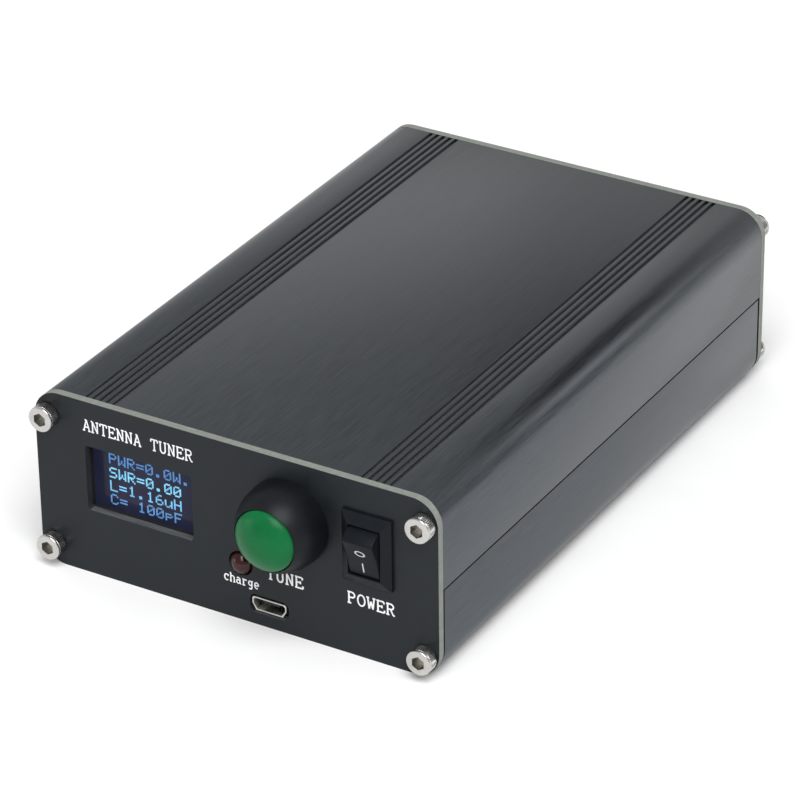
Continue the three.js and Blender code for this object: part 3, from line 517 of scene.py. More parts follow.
class Recipe:
    """A node material under construction around one principled shader."""

    def __init__(self, name: str) -> None:
        """Starts a material with a principled shader and an output.

        Args:
            name: the material's name.
        """
        self.material = bpy.data.materials.new(name)
        self.material.use_nodes = True
        self.tree = self.material.node_tree
        self.tree.nodes.clear()
        self.shader = self.tree.nodes.new("ShaderNodeBsdfPrincipled")
        output = self.tree.nodes.new("ShaderNodeOutputMaterial")
        self.join(self.shader.outputs["BSDF"], output.inputs["Surface"])

    def join(self, source: Any, target: Any) -> None:
        """Links an output socket to an input socket."""
        self.tree.links.new(source, target)

    def feed(self, name: str, source: Any) -> None:
        """Links an output socket to one of the shader's own sockets."""
        self.join(source, self.shader.inputs[name])

    def fix(self, **values: Any) -> None:
        """Sets constants on the shader's own sockets, with _ for a space in a socket's name."""
        for key, value in values.items():
            self.shader.inputs[key.replace("_", " ")].default_value = value

    def place(self, scale: Triple, move: Triple = (0, 0, 0)) -> Any:
        """Gives object coordinates scaled by three factors.

        Args:
            scale: the factors along X, Y and Z.
            move: the shift after scaling.

        Returns:
            The vector socket.
        """
        coords = self.tree.nodes.new("ShaderNodeTexCoord")
        mapping = self.tree.nodes.new("ShaderNodeMapping")
        mapping.inputs["Scale"].default_value = scale
        mapping.inputs["Location"].default_value = move
        self.join(coords.outputs["Object"], mapping.inputs["Vector"])
        return mapping.outputs["Vector"]

    def noise(self, scale: Triple, detail: float = 3, roughness: float = 0.55) -> Any:
        """Gives a noise value with features of 1/scale metres along each axis."""
        noise = self.tree.nodes.new("ShaderNodeTexNoise")
        noise.inputs["Scale"].default_value = 1
        noise.inputs["Detail"].default_value = detail
        noise.inputs["Roughness"].default_value = roughness
        self.join(self.place(scale), noise.inputs["Vector"])
        return noise.outputs["Fac"]

    def ramp(
        self, value: Any, stops: Sequence[tuple[float, Sequence[float]]], smooth: bool = True
    ) -> Any:
        """Turns a value into a colour.

        Args:
            value: the value socket.
            stops: the (position, colour) pairs from low to high.
            smooth: whether neighbouring colours blend into each other.

        Returns:
            The colour socket.
        """
        ramp = self.tree.nodes.new("ShaderNodeValToRGB")
        ramp.color_ramp.interpolation = "LINEAR" if smooth else "CONSTANT"
        for index, (position, colour) in enumerate(stops):
            if index < 2:
                stop = ramp.color_ramp.elements[index]
                stop.position = position
            else:
                stop = ramp.color_ramp.elements.new(position)
            stop.color = (*colour, 1)
        self.join(value, ramp.inputs["Fac"])
        return ramp.outputs["Color"]

    def tones(
        self,
        value: Any,
        colour: Sequence[float],
        dark: float,
        light: float,
        source: tuple[float, float] = (0.3, 0.7),
    ) -> Any:
        """Turns a value into a colour between two strengths.

        Args:
            value: the value socket.
            colour: the middle colour.
            dark: the factor at the low end.
            light: the factor at the high end.
            source: the two values that these ends belong to.

        Returns:
            The colour socket.
        """
        ends = zip(source, (dark, light))
        return self.ramp(value, [(position, shade_of(colour, factor)) for position, factor in ends])

    def span(
        self, value: Any, low: float, high: float, source: tuple[float, float] = (0.3, 0.7)
    ) -> Any:
        """Maps a value from a source range to a range between two numbers."""
        span = self.tree.nodes.new("ShaderNodeMapRange")
        span.inputs["From Min"].default_value = source[0]
        span.inputs["From Max"].default_value = source[1]
        span.inputs["To Min"].default_value = low
        span.inputs["To Max"].default_value = high
        self.join(value, span.inputs["Value"])
        return span.outputs["Result"]

    def blend(self, factor: Any, first: Any, second: Any) -> Any:
        """Mixes two colour sockets by a factor socket."""
        mix = self.tree.nodes.new("ShaderNodeMix")
        mix.data_type = "RGBA"
        self.join(factor, mix.inputs["Factor"])
        self.join(first, mix.inputs["A"])
        self.join(second, mix.inputs["B"])
        return mix.outputs["Result"]

    def height(self, *layers: tuple[Any, float]) -> None:
        """Bumps the surface by some layers of (value socket, depth in millimetres)."""
        normal = None
        for value, depth in layers:
            bump = self.tree.nodes.new("ShaderNodeBump")
            bump.inputs["Distance"].default_value = depth * MM
            self.join(value, bump.inputs["Height"])
            if normal is not None:
                self.join(normal, bump.inputs["Normal"])
            normal = bump.outputs["Normal"]
        self.feed("Normal", normal)


def shade_of(colour: Sequence[float], factor: float) -> tuple[float, ...]:
    """Gives a colour lightened or darkened by a factor."""
    return tuple(min(1.0, channel * factor) for channel in colour)


class Grain(Enum):
    """The direction that a finish's fine marks run in."""

    ALONG_Y = (3000, 110, 3000)
    ALONG_X = (60, 1800, 1800)
    ROUND = (900, 900, 900)


@dataclass(frozen=True)
class BrushedAnodised:
    """Extruded aluminium, brushed along its length and anodised."""

    name: str = "black_anodised"
    colour: Triple = (0.098, 0.107, 0.118)
    roughness: float = 0.34
    streak_depth: float = 0.0016

    def make(self) -> bpy.types.Material:
        """Builds the material."""
        recipe = Recipe(self.name)
        recipe.fix(Metallic=1.0)
        fine = recipe.noise(Grain.ALONG_Y.value, detail=3, roughness=0.7)
        broad = recipe.noise((800, 24, 800), detail=2)
        cloud = recipe.noise((60, 30, 60), detail=2)
        streaks = recipe.tones(fine, self.colour, 0.72, 1.26, (0.32, 0.68))
        bands = recipe.tones(broad, self.colour, 0.94, 1.05)
        recipe.feed("Base Color", recipe.blend(cloud, streaks, bands))
        recipe.feed("Roughness", recipe.span(fine, self.roughness - 0.05, self.roughness + 0.06))
        recipe.height((fine, self.streak_depth), (broad, self.streak_depth / 4))
        return recipe.material


@dataclass(frozen=True)
class SolderMask:
    """Glass-fibre board under a coat of solder mask, with a faint weave below it."""

    name: str
    colour: Triple
    roughness: float = 0.42
    specular: float = 0.4

    def make(self) -> bpy.types.Material:
        """Builds the material."""
        recipe = Recipe(self.name)
        recipe.fix(Specular_IOR_Level=self.specular)
        mottle = recipe.noise((260, 260, 260), detail=3)
        weave = recipe.noise((1500, 1500, 1500), detail=1)
        colour = recipe.tones(mottle, self.colour, 0.85, 1.15)
        recipe.feed("Base Color", colour)
        recipe.feed("Roughness", recipe.span(mottle, self.roughness - 0.04, self.roughness + 0.05))
        recipe.height((weave, 0.004), (mottle, 0.01))
        return recipe.material


@dataclass(frozen=True)
class BoardEdge:
    """The sawn edge of a glass-fibre board, with its layers of cloth."""

    name: str = "board_edge"
    colour: Triple = (0.215, 0.235, 0.21)

    def make(self) -> bpy.types.Material:
        """Builds the material."""
        recipe = Recipe(self.name)
        recipe.fix(Roughness=0.7)
        layers = recipe.noise((250, 6500, 250), detail=2)
        dust = recipe.noise((900, 900, 900), detail=4, roughness=0.7)
        base = recipe.tones(layers, self.colour, 0.8, 1.1)
        pale = recipe.tones(dust, self.colour, 0.75, 1.25, (0.35, 0.75))
        recipe.feed("Base Color", recipe.blend(dust, base, pale))
        recipe.height((layers, 0.02), (dust, 0.03))
        return recipe.material


@dataclass(frozen=True)
class HoleWallPaintedShade:
    """The inside walls of the holes routed through a board, painted darker than the sawn outer edge as
    painted shade of the recess.
    """

    name: str = "hole_wall_painted_shade"
    # Painted shade: a dark colour for the walls inside the holes.
    colour: Triple = (0.085, 0.09, 0.095)

    def make(self) -> bpy.types.Material:
        """Builds the material."""
        recipe = Recipe(self.name)
        recipe.fix(Roughness=0.6, Specular_IOR_Level=0.3)
        layers = recipe.noise((250, 6500, 250), detail=2)
        colour = recipe.tones(layers, self.colour, 0.6, 1.5)
        recipe.feed("Base Color", colour)
        recipe.height((layers, 0.02))
        return recipe.material


@dataclass(frozen=True)
class Metal:
    """Bare or plated metal with tool marks and small stains."""

    name: str
    colour: Triple
    roughness: float = 0.28
    grain: Grain = Grain.ROUND

    def make(self) -> bpy.types.Material:
        """Builds the material."""
        recipe = Recipe(self.name)
        recipe.fix(Metallic=1.0)
        marks = recipe.noise(self.grain.value, detail=4, roughness=0.65)
        stain = recipe.noise((330, 330, 330), detail=3)
        bright = recipe.tones(marks, self.colour, 0.9, 1.08)
        recess_shade = recipe.tones(stain, self.colour, 0.82, 1.05)
        recipe.feed("Base Color", recipe.blend(stain, bright, recess_shade))
        recipe.feed("Roughness", recipe.span(stain, self.roughness - 0.07, self.roughness + 0.1))
        recipe.height((marks, 0.004))
        return recipe.material


@dataclass(frozen=True)
class MouldedPlastic:
    """Moulded plastic with a fine texture and a little unevenness."""

    name: str
    colour: Triple
    roughness: float = 0.4
    texture_depth: float = 0.006
    specular: float = 0.3

    def make(self) -> bpy.types.Material:
        """Builds the material."""
        recipe = Recipe(self.name)
        recipe.fix(Specular_IOR_Level=self.specular)
        fine = recipe.noise((2600, 2600, 2600), detail=2)
        flow = recipe.noise((160, 160, 160), detail=2)
        colour = recipe.tones(flow, self.colour, 0.88, 1.1)
        recipe.feed("Base Color", colour)
        recipe.feed("Roughness", recipe.span(flow, self.roughness - 0.05, self.roughness + 0.05))
        recipe.height((fine, self.texture_depth), (flow, self.texture_depth * 2))
        return recipe.material


@dataclass(frozen=True)
class TintedEpoxy:
    """The clear coloured resin of a small light that is off."""

    name: str = "red_epoxy"
    colour: Triple = (0.045, 0.004, 0.006)

    def make(self) -> bpy.types.Material:
        """Builds the material."""
        recipe = Recipe(self.name)
        recipe.fix(Roughness=0.1, Transmission_Weight=0.25, Specular_IOR_Level=0.35)
        depth = recipe.noise((420, 420, 420), detail=2)
        colour = recipe.tones(depth, self.colour, 0.6, 1.25)
        recipe.feed("Base Color", colour)
        recipe.height((depth, 0.01))
        return recipe.material


@dataclass(frozen=True)
class LitGlass:
    """Display glass over a panel that gives off a faint violet light."""

    name: str = "display_face"
    glow: Triple = (0.009, 0.011, 0.026)

    def make(self) -> bpy.types.Material:
        """Builds the material."""
        recipe = Recipe(self.name)
        recipe.fix(Roughness=0.16, Emission_Strength=1.0, Specular_IOR_Level=0.14)
        haze = recipe.noise((120, 120, 120), detail=2)
        base = recipe.ramp(haze, [(0.3, (0.006, 0.006, 0.012)), (0.7, (0.011, 0.01, 0.022))])
        recipe.feed("Base Color", base)
        glow = recipe.tones(haze, self.glow, 0.8, 1.2)
        recipe.feed("Emission Color", glow)
        return recipe.material


@dataclass(frozen=True)
class LitDots:
    """Lit display dots, each row of signs with a brightness of its own."""

    name: str
    colour: Triple
    strength: float = 1.0

    def make(self) -> bpy.types.Material:
        """Builds the material."""
        recipe = Recipe(self.name)
        recipe.fix(Roughness=0.4, Emission_Strength=self.strength)
        flicker = recipe.noise((700, 700, 700), detail=2)
        glow = recipe.tones(flicker, self.colour, 0.72, 1.18)
        recipe.feed("Emission Color", glow)
        base = recipe.ramp(flicker, [(0.3, (0.02, 0.02, 0.03)), (0.7, (0.03, 0.03, 0.05))])
        recipe.feed("Base Color", base)
        return recipe.material


@dataclass(frozen=True)
class WoundCore:
    """A powder core under turns of enamelled wire."""

    name: str = "wound_core"
    core: Triple = (0.45, 0.10, 0.06)
    wire: Triple = (0.55, 0.22, 0.08)

    def make(self) -> bpy.types.Material:
        """Builds the material."""
        recipe = Recipe(self.name)
        recipe.fix(Roughness=0.35)
        turns = recipe.tree.nodes.new("ShaderNodeTexWave")
        turns.inputs["Scale"].default_value = 1
        turns.inputs["Distortion"].default_value = 1.5
        recipe.join(recipe.place((900, 900, 60)), turns.inputs["Vector"])
        grain = recipe.noise((1500, 1500, 1500), detail=3)
        cores = recipe.tones(grain, self.core, 0.8, 1.1)
        wires = recipe.tones(grain, self.wire, 0.9, 1.1)
        recipe.feed("Base Color", recipe.blend(turns.outputs["Fac"], cores, wires))
        recipe.height((turns.outputs["Fac"], 0.15))
        return recipe.material


class Paintshop:
    """Makes each finish once and puts it on pieces."""

    def __init__(self) -> None:
        """Starts with the finishes of the record's material slots."""
        self.made: dict[str, bpy.types.Material] = {}
        nickel = (0.70, 0.69, 0.66)
        self.by_slot: dict[str, Any] = {
            "case_black": BrushedAnodised(),
            "panel_black": SolderMask("black_mask", (0.008, 0.011, 0.014), 0.42, 0.24),
            "screw_steel": Metal("zinc_screw", (0.56, 0.55, 0.53), 0.24),
            "foam_black": MouldedPlastic("black_foam", (0.012, 0.012, 0.013), 0.9, 0.05),
            "display_glass": LitGlass(),
            "board_blue": SolderMask("blue_mask", (0.012, 0.03, 0.12)),
            "header_black": MouldedPlastic("header_plastic", (0.02, 0.02, 0.022), 0.5),
            "button_black": MouldedPlastic("bezel_plastic", (0.005, 0.006, 0.008), 0.42, 0.004, 0.2),
            "button_green": MouldedPlastic("green_cap", (0.002, 0.118, 0.033), 0.3, 0.003, 0.16),
            "spring_steel": Metal("spring_wire", (0.6, 0.61, 0.62), 0.3),
            "contact_copper": Metal("contact_strip", (0.72, 0.38, 0.22), 0.3),
            "nut_nickel": Metal("nickel_nut", nickel, 0.25, Grain.ALONG_X),
            "blade_tin": Metal("tinned_blade", (0.68, 0.69, 0.70), 0.35, Grain.ALONG_Y),
            "switch_black": MouldedPlastic("switch_plastic", (0.007, 0.009, 0.012), 0.42, 0.006, 0.13),
            "rocker_black": MouldedPlastic("rocker_plastic", (0.006, 0.008, 0.011), 0.42, 0.006, 0.11),
            "lens_red": TintedEpoxy(),
            "shell_nickel": Metal("plated_mouth", (0.60, 0.60, 0.56), 0.3, Grain.ROUND),
            "cell_silver": Metal("foil_pouch", (0.62, 0.64, 0.66), 0.42),
            "board_green": SolderMask("green_mask", (0.012, 0.10, 0.035)),
            "chip_black": MouldedPlastic("chip_resin", (0.016, 0.016, 0.017), 0.55),
            "ferrite_dark": MouldedPlastic("dark_ferrite", (0.035, 0.035, 0.037), 0.65, 0.03),
            "relay_black": MouldedPlastic("relay_cover", (0.02, 0.02, 0.022), 0.4),
            "ferrite_red": WoundCore(),
            "socket_nickel": Metal("plated_socket", nickel, 0.22, Grain.ALONG_X),
            "insulator_white": MouldedPlastic("socket_insulator", (0.74, 0.71, 0.62), 0.45),
            "contact_brass": Metal("turned_brass", (0.78, 0.58, 0.26), 0.25),
            "backing_steel": Metal("backing_plate", (0.6, 0.6, 0.6), 0.35),
        }

    def finish(self, recipe: Any) -> bpy.types.Material:
        """Gives a finish's material, made at its first use."""
        if recipe.name not in self.made:
            self.made[recipe.name] = recipe.make()
        return self.made[recipe.name]

    def coat(self, piece: bpy.types.Object, *recipes: Any) -> None:
        """Replaces all of a piece's material slots.

        Args:
            piece: the piece.
            recipes: its finishes, in the order of its faces' material numbers.
        """
        piece.data.materials.clear()
        for recipe in recipes:
            piece.data.materials.append(self.finish(recipe))

    def coat_by_slot(self, piece: bpy.types.Object, slot: str) -> None:
        """Gives a piece the finish of one of the record's material slots."""
        self.coat(piece, self.by_slot[slot])


# ---------------------------------------------------------------- shared by the sub-assemblies


@dataclass
class SubAssembly:
    """What every sub-assembly needs: the finishes and the record's slots."""

    paint: Paintshop
    slots: dict[str, str]
    pieces: list[bpy.types.Object] = field(default_factory=list)

    def hand_over(
        self,
        piece: bpy.types.Object,
        body: str,
        nodes: Sequence[str] = (),
        slot: str = "",
        dressed: bool = False,
    ) -> None:
        """Dresses a new piece and tells the frame where it belongs.

        Args:
            piece: the finished piece.
            body: the body that it moves with.
            nodes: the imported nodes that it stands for.
            slot: the record's material slot, by default that of the first node.
            dressed: whether the piece already has its materials.
        """
        slot = slot or self.slots[nodes[0]]
        if not dressed:
            self.paint.coat_by_slot(piece, slot)
        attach(piece, body)
        if nodes:
            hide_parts(*nodes)
        self.pieces.append(piece)

    def dress_node(self, node: str) -> None:
        """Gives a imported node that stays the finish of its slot."""
        piece = bpy.data.objects[node]
        self.paint.coat_by_slot(piece, self.slots[node])
        self.pieces.append(piece)

    def report(self) -> None:
        """Logs each piece that this sub-assembly made or dressed."""
        for piece in self.pieces:
            log.info("%s: %s, %d faces", type(self).__name__, piece.name, len(piece.data.polygons))


def corners_of(node: str) -> tuple[Vector, Vector]:
    """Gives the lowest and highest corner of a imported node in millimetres."""
    low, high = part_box(node)
    return Vector(low) / MM, Vector(high) / MM


def middle_of(node: str) -> Vector:
    """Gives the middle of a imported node's box in millimetres."""
    low, high = corners_of(node)
    return (low + high) / 2


def numbered(stem: str) -> list[str]:
    """Gives the names of the four nodes that share a stem."""
    return [f"{stem}_{index}" for index in range(1, 5)]


def drills_at(
    nodes: Iterable[str], radius: float, span: Sequence[float], sides: int = 24
) -> list[bpy.types.Object]:
    """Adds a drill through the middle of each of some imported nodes.

    Args:
        nodes: the nodes' names.
        radius: the radius in millimetres.
        span: the two end values of Y in millimetres.
        sides: the number of sides.

    Returns:
        The drills.
    """
    places = [middle_of(node) for node in nodes]
    return [rod("drill", place.x, place.z, radius, span, sides) for place in places]


# ---------------------------------------------------------------- lettering


def arc(
    centre: tuple[float, float], reach: tuple[float, float], start: float, end: float
) -> list[tuple[float, float]]:
    """Gives the points of an elliptical arc.

    Args:
        centre: the arc's centre.
        reach: its half width and half height.
        start: the first angle in degrees.
        end: the last angle in degrees.

    Returns:
        The points along the arc.
    """
    count = max(4, int(abs(end - start) / ARC_STEP))
    angles = [math.radians(start + (end - start) * step / count) for step in range(count + 1)]
    return [(centre[0] + reach[0] * math.cos(a), centre[1] + reach[1] * math.sin(a)) for a in angles]


def pen_lines(stroke: list[tuple[float, float]]) -> list[tuple[list[tuple[float, float]], bool]]:
    """Splits a stroke at its sharp corners, where one pen line would run thin.

    Args:
        stroke: the stroke's points.

    Returns:
        Each line's points, with whether it is closed.
    """
    if math.dist(stroke[0], stroke[-1]) < SAME_POINT:
        return [(stroke[:-1], True)]
    lines, line = [], [stroke[0]]
    for index in range(1, len(stroke)):
        line.append(stroke[index])
        if index == len(stroke) - 1:
            break
        before = Vector(stroke[index]) - Vector(stroke[index - 1])
        after = Vector(stroke[index + 1]) - Vector(stroke[index])
        if before.length and after.length and before.angle(after) > math.radians(PEN_CORNER):
            lines.append((line, False))
            line = [stroke[index]]
    return [*lines, (line, False)]


def serif_strokes() -> dict[str, list[list[tuple[float, float]]]]:
    """Gives the pen strokes of each slab-serif letter, on a cell 5 wide with capitals 7 high."""
    bowl = [(0.1, 7.0), (2.7, 7.0), *arc((2.7, 5.3), (1.6, 1.7), 90, -90), (0.9, 3.6)]
    return {
        "A": [
            [(0.6, 0), (2.5, 7), (4.4, 0)],
            [(1.4, 2.3), (3.6, 2.3)],
            [(-0.1, 0), (1.5, 0)],
            [(3.5, 0), (5.1, 0)],
            [(1.5, 7), (2.6, 7)],
        ],
        "E": [
            [(0.9, 0), (0.9, 7)],
            [(0.1, 7), (4.4, 7), (4.4, 5.6)],
            [(0.1, 0), (4.7, 0), (4.7, 1.6)],
            [(0.9, 3.6), (3.2, 3.6)],
            [(3.2, 2.7), (3.2, 4.5)],
        ],
        "I": [[(2.5, 0), (2.5, 7)], [(1.3, 7), (3.7, 7)], [(1.3, 0), (3.7, 0)]],
        "N": [
            [(0.9, 0), (0.9, 7), (4.1, 0), (4.1, 7)],
            [(0.0, 0), (1.8, 0)],
            [(-0.1, 7), (0.9, 7)],
            [(3.2, 7), (5.0, 7)],
        ],
        "O": [arc((2.5, 3.5), (2.1, 3.5), 0, 360)],
        "P": [[(0.9, 0), (0.9, 7)], bowl, [(0.1, 0), (2.2, 0)]],
        "R": [[(0.9, 0), (0.9, 7)], bowl, [(0.1, 0), (1.9, 0)], [(2.5, 3.6), (4.2, 0), (5.1, 0)]],
        "T": [
            [(0.3, 5.4), (0.3, 7), (4.7, 7), (4.7, 5.4)],
            [(2.5, 7), (2.5, 0)],
            [(1.5, 0), (3.5, 0)],
        ],
        "U": [
            [(0.9, 7), (0.9, 2.3), *arc((2.5, 2.1), (1.6, 2.1), 180, 360), (4.1, 7)],
            [(0.0, 7), (1.8, 7)],
            [(3.2, 7), (5.0, 7)],
        ],
        "W": [
            [(0.6, 7), (1.4, 0), (2.5, 4.8), (3.6, 0), (4.4, 7)],
            [(-0.2, 7), (1.5, 7)],
            [(3.5, 7), (5.2, 7)],
        ],
        "a": [
            [(0.9, 4.1), *arc((2.4, 3.4), (1.5, 1.4), 120, 0), (3.9, 0), (4.9, 0)],
            arc((2.3, 1.5), (1.6, 1.4), 0, 360),
        ],
        "c": [arc((2.6, 2.4), (1.9, 2.4), 45, 315), [(4.0, 5.0), (4.0, 3.4)]],
        "e": [[(0.7, 2.5), *arc((2.5, 2.5), (1.8, 2.4), 0, 300)]],
        "g": [
            arc((2.2, 3.0), (1.5, 1.7), 0, 360),
            [(3.7, 4.9), (3.7, 0.2), *arc((2.3, -0.4), (1.4, 1.2), 0, -150)],
            [(3.7, 4.8), (4.8, 4.8)],
        ],
        "h": [
            [(0.9, 0), (0.9, 7)],
            [(0.1, 7), (0.9, 7)],
            [(0.9, 3.4), *arc((2.5, 3.3), (1.6, 1.5), 170, 0), (4.1, 0)],
            [(0.1, 0), (1.8, 0)],
            [(3.3, 0), (5.0, 0)],
        ],
        "r": [
            [(1.5, 0), (1.5, 4.8)],
            [(0.5, 4.8), (1.5, 4.8)],
            [(1.5, 3.0), *arc((3.2, 3.2), (1.6, 1.5), 170, 40)],
            [(0.4, 0), (3.0, 0)],
        ],
    }


@dataclass(frozen=True)
class Legend:
    """One printed legend on a panel."""

    name: str
    words: str
    left: float
    base: float
    pitch: float
    height: float
    pen: float

    def make(self, face: float) -> bpy.types.Object:
        """Builds the legend as a thin layer of ink.

        Args:
            face: Y of the panel's outer face in millimetres.

        Returns:
            The legend's mesh.
        """
        curve = bpy.data.curves.new(self.name, "CURVE")
        curve.dimensions = "3D"
        curve.bevel_depth = self.pen * MM / 2
        curve.bevel_resolution = 1
        curve.use_fill_caps = True
        cell_width = self.pitch / CELL_WIDTH
        cell_height = self.height / CAPITAL_HEIGHT
        glyphs = serif_strokes()
        for index, sign in enumerate(self.words):
            lines = [line for stroke in glyphs.get(sign, []) for line in pen_lines(stroke)]
            for points, closed in lines:
                spline = curve.splines.new("POLY")
                spline.use_cyclic_u = closed
                spline.points.add(len(points) - 1)
                for point, (across, up) in zip(spline.points, points):
                    x = self.left + index * self.pitch + across * cell_width
                    z = self.base + up * cell_height
                    point.co = (x * MM, 0, z * MM, 1)
        ink = bpy.data.objects.new(self.name, curve)
        bpy.context.collection.objects.link(ink)
        pick_up(ink)
        bpy.ops.object.convert(target="MESH")
        flattened = bpy.context.object
        flattened.scale = (1, INK_FLATNESS, 1)
        flattened.location = (0, face * MM, 0)
        return settle(self.name)


# ---------------------------------------------------------------- case


@dataclass
class Case(SubAssembly):
    """The split extrusion, both end panels, their screws and the printed legends. Sizes in mm."""

    corner: float = 5.5
    corner_facets: int = 12
    cover_ease: float = 0.12
    panel_ease: float = 0.1
    edge_reach: float = 0.4
    edge_band: float = 0.5
    drill_spare: float = 1.0
    window: tuple[float, float, float, float] = (-20.98, 21.1, 23.85, 14.0)
    window_corner: float = 0.7
    thread_hole: float = 8.0
    light_hole: float = 2.6
    mouth_hole: tuple[float, float, float] = (8.6, 3.9, 1.3)
    switch_hole: tuple[float, float] = (9.0, 13.4)
    screw_hole: float = 1.65
    socket_hole: float = 7.4
    flange_hole: float = 1.7
    head_radius: float = 2.6
    head_height: float = 2.8
    shank_radius: float = 1.4
    shank_length: float = 7.5
    shank_thread_depth: float = 0.22
    shank_thread_pitch: float = 0.5
    shank_thread_start: float = 0.6
    tip_length: float = 0.3
    tip_chamfer: float = 0.35
    neck_chamfer: float = 0.1
    knurl_foot: float = 0.35
    knurl_top: float = 0.75
    knurl_teeth: int = 44
    knurl_depth: float = 0.14
    hex_flats: float = 2.5
    hex_depth: float = 1.5

    def covers(self) -> None:
        """Builds both halves of the extrusion with softened edges."""
        for node in ("top_cover", "bottom_cover"):
            cover = merged_copy(node, f"{node}_shell")
            ease_edges(cover, self.cover_ease, 2, 40)
            self.hand_over(cover, CASE_BODY, [node])

    def blank(self, node: str, name: str) -> bpy.types.Object:
        """Builds a panel blank with rounded corners in the place of a packed panel."""
        low, high = corners_of(node)
        blank = block(name, low, high)
        round_corners(blank, self.corner, self.corner_facets)
        return blank

    def finish_panel(self, panel: bpy.types.Object, node: str) -> None:
        """Eases a panel's edges and separates its sawn edges from its coated faces, with painted shade
        on the hole walls.
        """
        ease_edges(panel, self.panel_ease, 1, 50)
        coating = self.paint.by_slot[self.slots[node]]
        # Painted shade: the upward hole walls are a little lighter, as if lit from above, and the other
        # hole walls are darker still.
        deep_shade_wall = HoleWallPaintedShade("hole_wall_deep_painted_shade", (0.022, 0.026, 0.029))
        self.paint.coat(panel, coating, BoardEdge(), HoleWallPaintedShade(), deep_shade_wall)
        low, high = corners_of(node)
        half_x, half_z = (high.x - low.x) / 2, (high.z - low.z) / 2
        band = self.corner * (1 - math.sqrt(0.5)) + self.edge_band

        def wall(middle: Vector, normal: Vector) -> int:
            """Gives the finish number of a face: 0 coated, 1 outline, 2 upward hole wall with lighter
            painted shade, 3 other hole wall with deeper painted shade.
            """
            if abs(normal.y) > AXIS_TOLERANCE:
                return 0
            reach_x, reach_z = half_x - abs(middle.x), half_z - abs(middle.z - low.z - half_z)
            near, far = min(reach_x, reach_z), max(reach_x, reach_z)
            if near < self.edge_reach or (near < band and far < band + self.corner / 2):
                return 1
            return 2 if normal.z > AXIS_TOLERANCE else 3

        for number in (1, 2, 3):
            assign_finish(panel, number, lambda middle, normal: wall(middle, normal) == number)
        self.hand_over(panel, CASE_BODY, [node], dressed=True)

    def through(self, node: str) -> tuple[float, float]:
        """Gives the two values of Y that a drill through a panel runs between."""
        low, high = corners_of(node)
        return low.y - self.drill_spare, high.y + self.drill_spare

    def front_plate(self) -> None:
        """Builds the front panel with its window and holes."""
        reach = self.through("front_panel")
        plate = self.blank("front_panel", "front_plate")
        window = punch(*self.window, reach)
        mouth = middle_of("charge_socket_shell")
        wide, tall, soft = self.mouth_hole
        slot = punch(mouth.x, mouth.z, wide, tall, reach)
        round_corners(window, self.window_corner)
        round_corners(slot, soft)
        switch_x, switch_z = middle_of("power_rocker").x, middle_of("power_switch_body").z
        carve(plate, [
            window,
            slot,
            *drills_at(["tune_button_body"], self.thread_hole, reach, 64),
            *drills_at(["charge_light"], self.light_hole, reach, 48),
            punch(switch_x, switch_z, *self.switch_hole, reach),
            *drills_at(numbered("front_screw"), self.screw_hole, reach),
        ])
        self.finish_panel(plate, "front_panel")

    def rear_plate(self) -> None:
        """Builds the rear panel with its socket and screw holes."""
        reach = self.through("rear_panel")
        plate = self.blank("rear_panel", "rear_plate")
        tools = drills_at(numbered("rear_screw"), self.screw_hole, reach)
        for socket in SOCKETS:
            tools += drills_at([f"{socket}_contact"], self.socket_hole, reach, 64)
            tools += drills_at(numbered(f"{socket}_screw"), self.flange_hole, reach)
        carve(plate, tools)
        self.finish_panel(plate, "rear_panel")

    def cap_screw(self) -> bpy.types.Object:
        """Builds one knurled cap screw at the origin, its head on -Y and its seat at zero."""
        top = -self.head_height
        radius = self.head_radius
        root = radius - self.knurl_depth
        thread = thread_profile(
            self.shank_radius,
            self.shank_thread_depth,
            self.shank_thread_pitch,
            self.shank_length - self.tip_length,
            self.shank_thread_start,
        )
        profile = [
            (0, self.shank_length),
            (self.shank_radius - self.tip_chamfer, self.shank_length),
            *thread,
            (self.shank_radius - self.neck_chamfer, 0),
            (root - self.neck_chamfer, 0),
            (root, -0.12),
            (root, -0.25),
            (root, -self.knurl_foot),
            (root, top + self.knurl_top),
            (root, top + 0.62),
            (radius - 0.02, top + 0.55),
            (radius - 0.02, top + 0.22),
            (radius - 0.1, top + 0.08),
            (radius - 0.28, top),
            (radius - 0.7, top),
            (0, top),
        ]
        screw = turn_profile("cap_screw", 0, 0, profile, 2 * self.knurl_teeth)
        step = math.tau / (2 * self.knurl_teeth)

        def crest(place: Vector) -> bool:
            """Tells whether a vertex is on the crest of a knurl tooth."""
            knurled = top + self.knurl_top - SLACK < place.y < SLACK - self.knurl_foot
            outside = math.hypot(place.x, place.z) > root - SLACK
            return knurled and outside and round(math.atan2(place.z, place.x) / step) % 2 == 0

        with Bench(screw, "VERT") as bench:
            bench.verts(crest)
            ratio = radius / root
            bpy.ops.transform.resize(value=(ratio, 1, ratio), center_override=(0, 0, 0))
        key_radius = self.hex_flats / math.sqrt(3)
        key = rod("key", 0, 0, key_radius, (top - self.drill_spare, top + self.hex_depth), 6)
        carve(screw, [key])
        shade(screw, 28)
        # Painted shade: the walls and floor of the key's recess get a darker copy of the screw metal.
        recess_shade = Metal("key_recess_painted_shade", (0.33, 0.32, 0.29), 0.4)
        self.paint.coat(screw, self.paint.by_slot["screw_steel"], recess_shade)

        def recess(middle: Vector, _normal: Vector) -> bool:
            """Tells whether a face is a wall or the floor of the key's recess, which gets the painted
            shade.
            """
            inside = math.hypot(middle.x, middle.z) < key_radius + 0.01
            return inside and top + SLACK < middle.y < top + self.hex_depth + 2 * SLACK

        assign_finish(screw, 1, recess)
        return screw

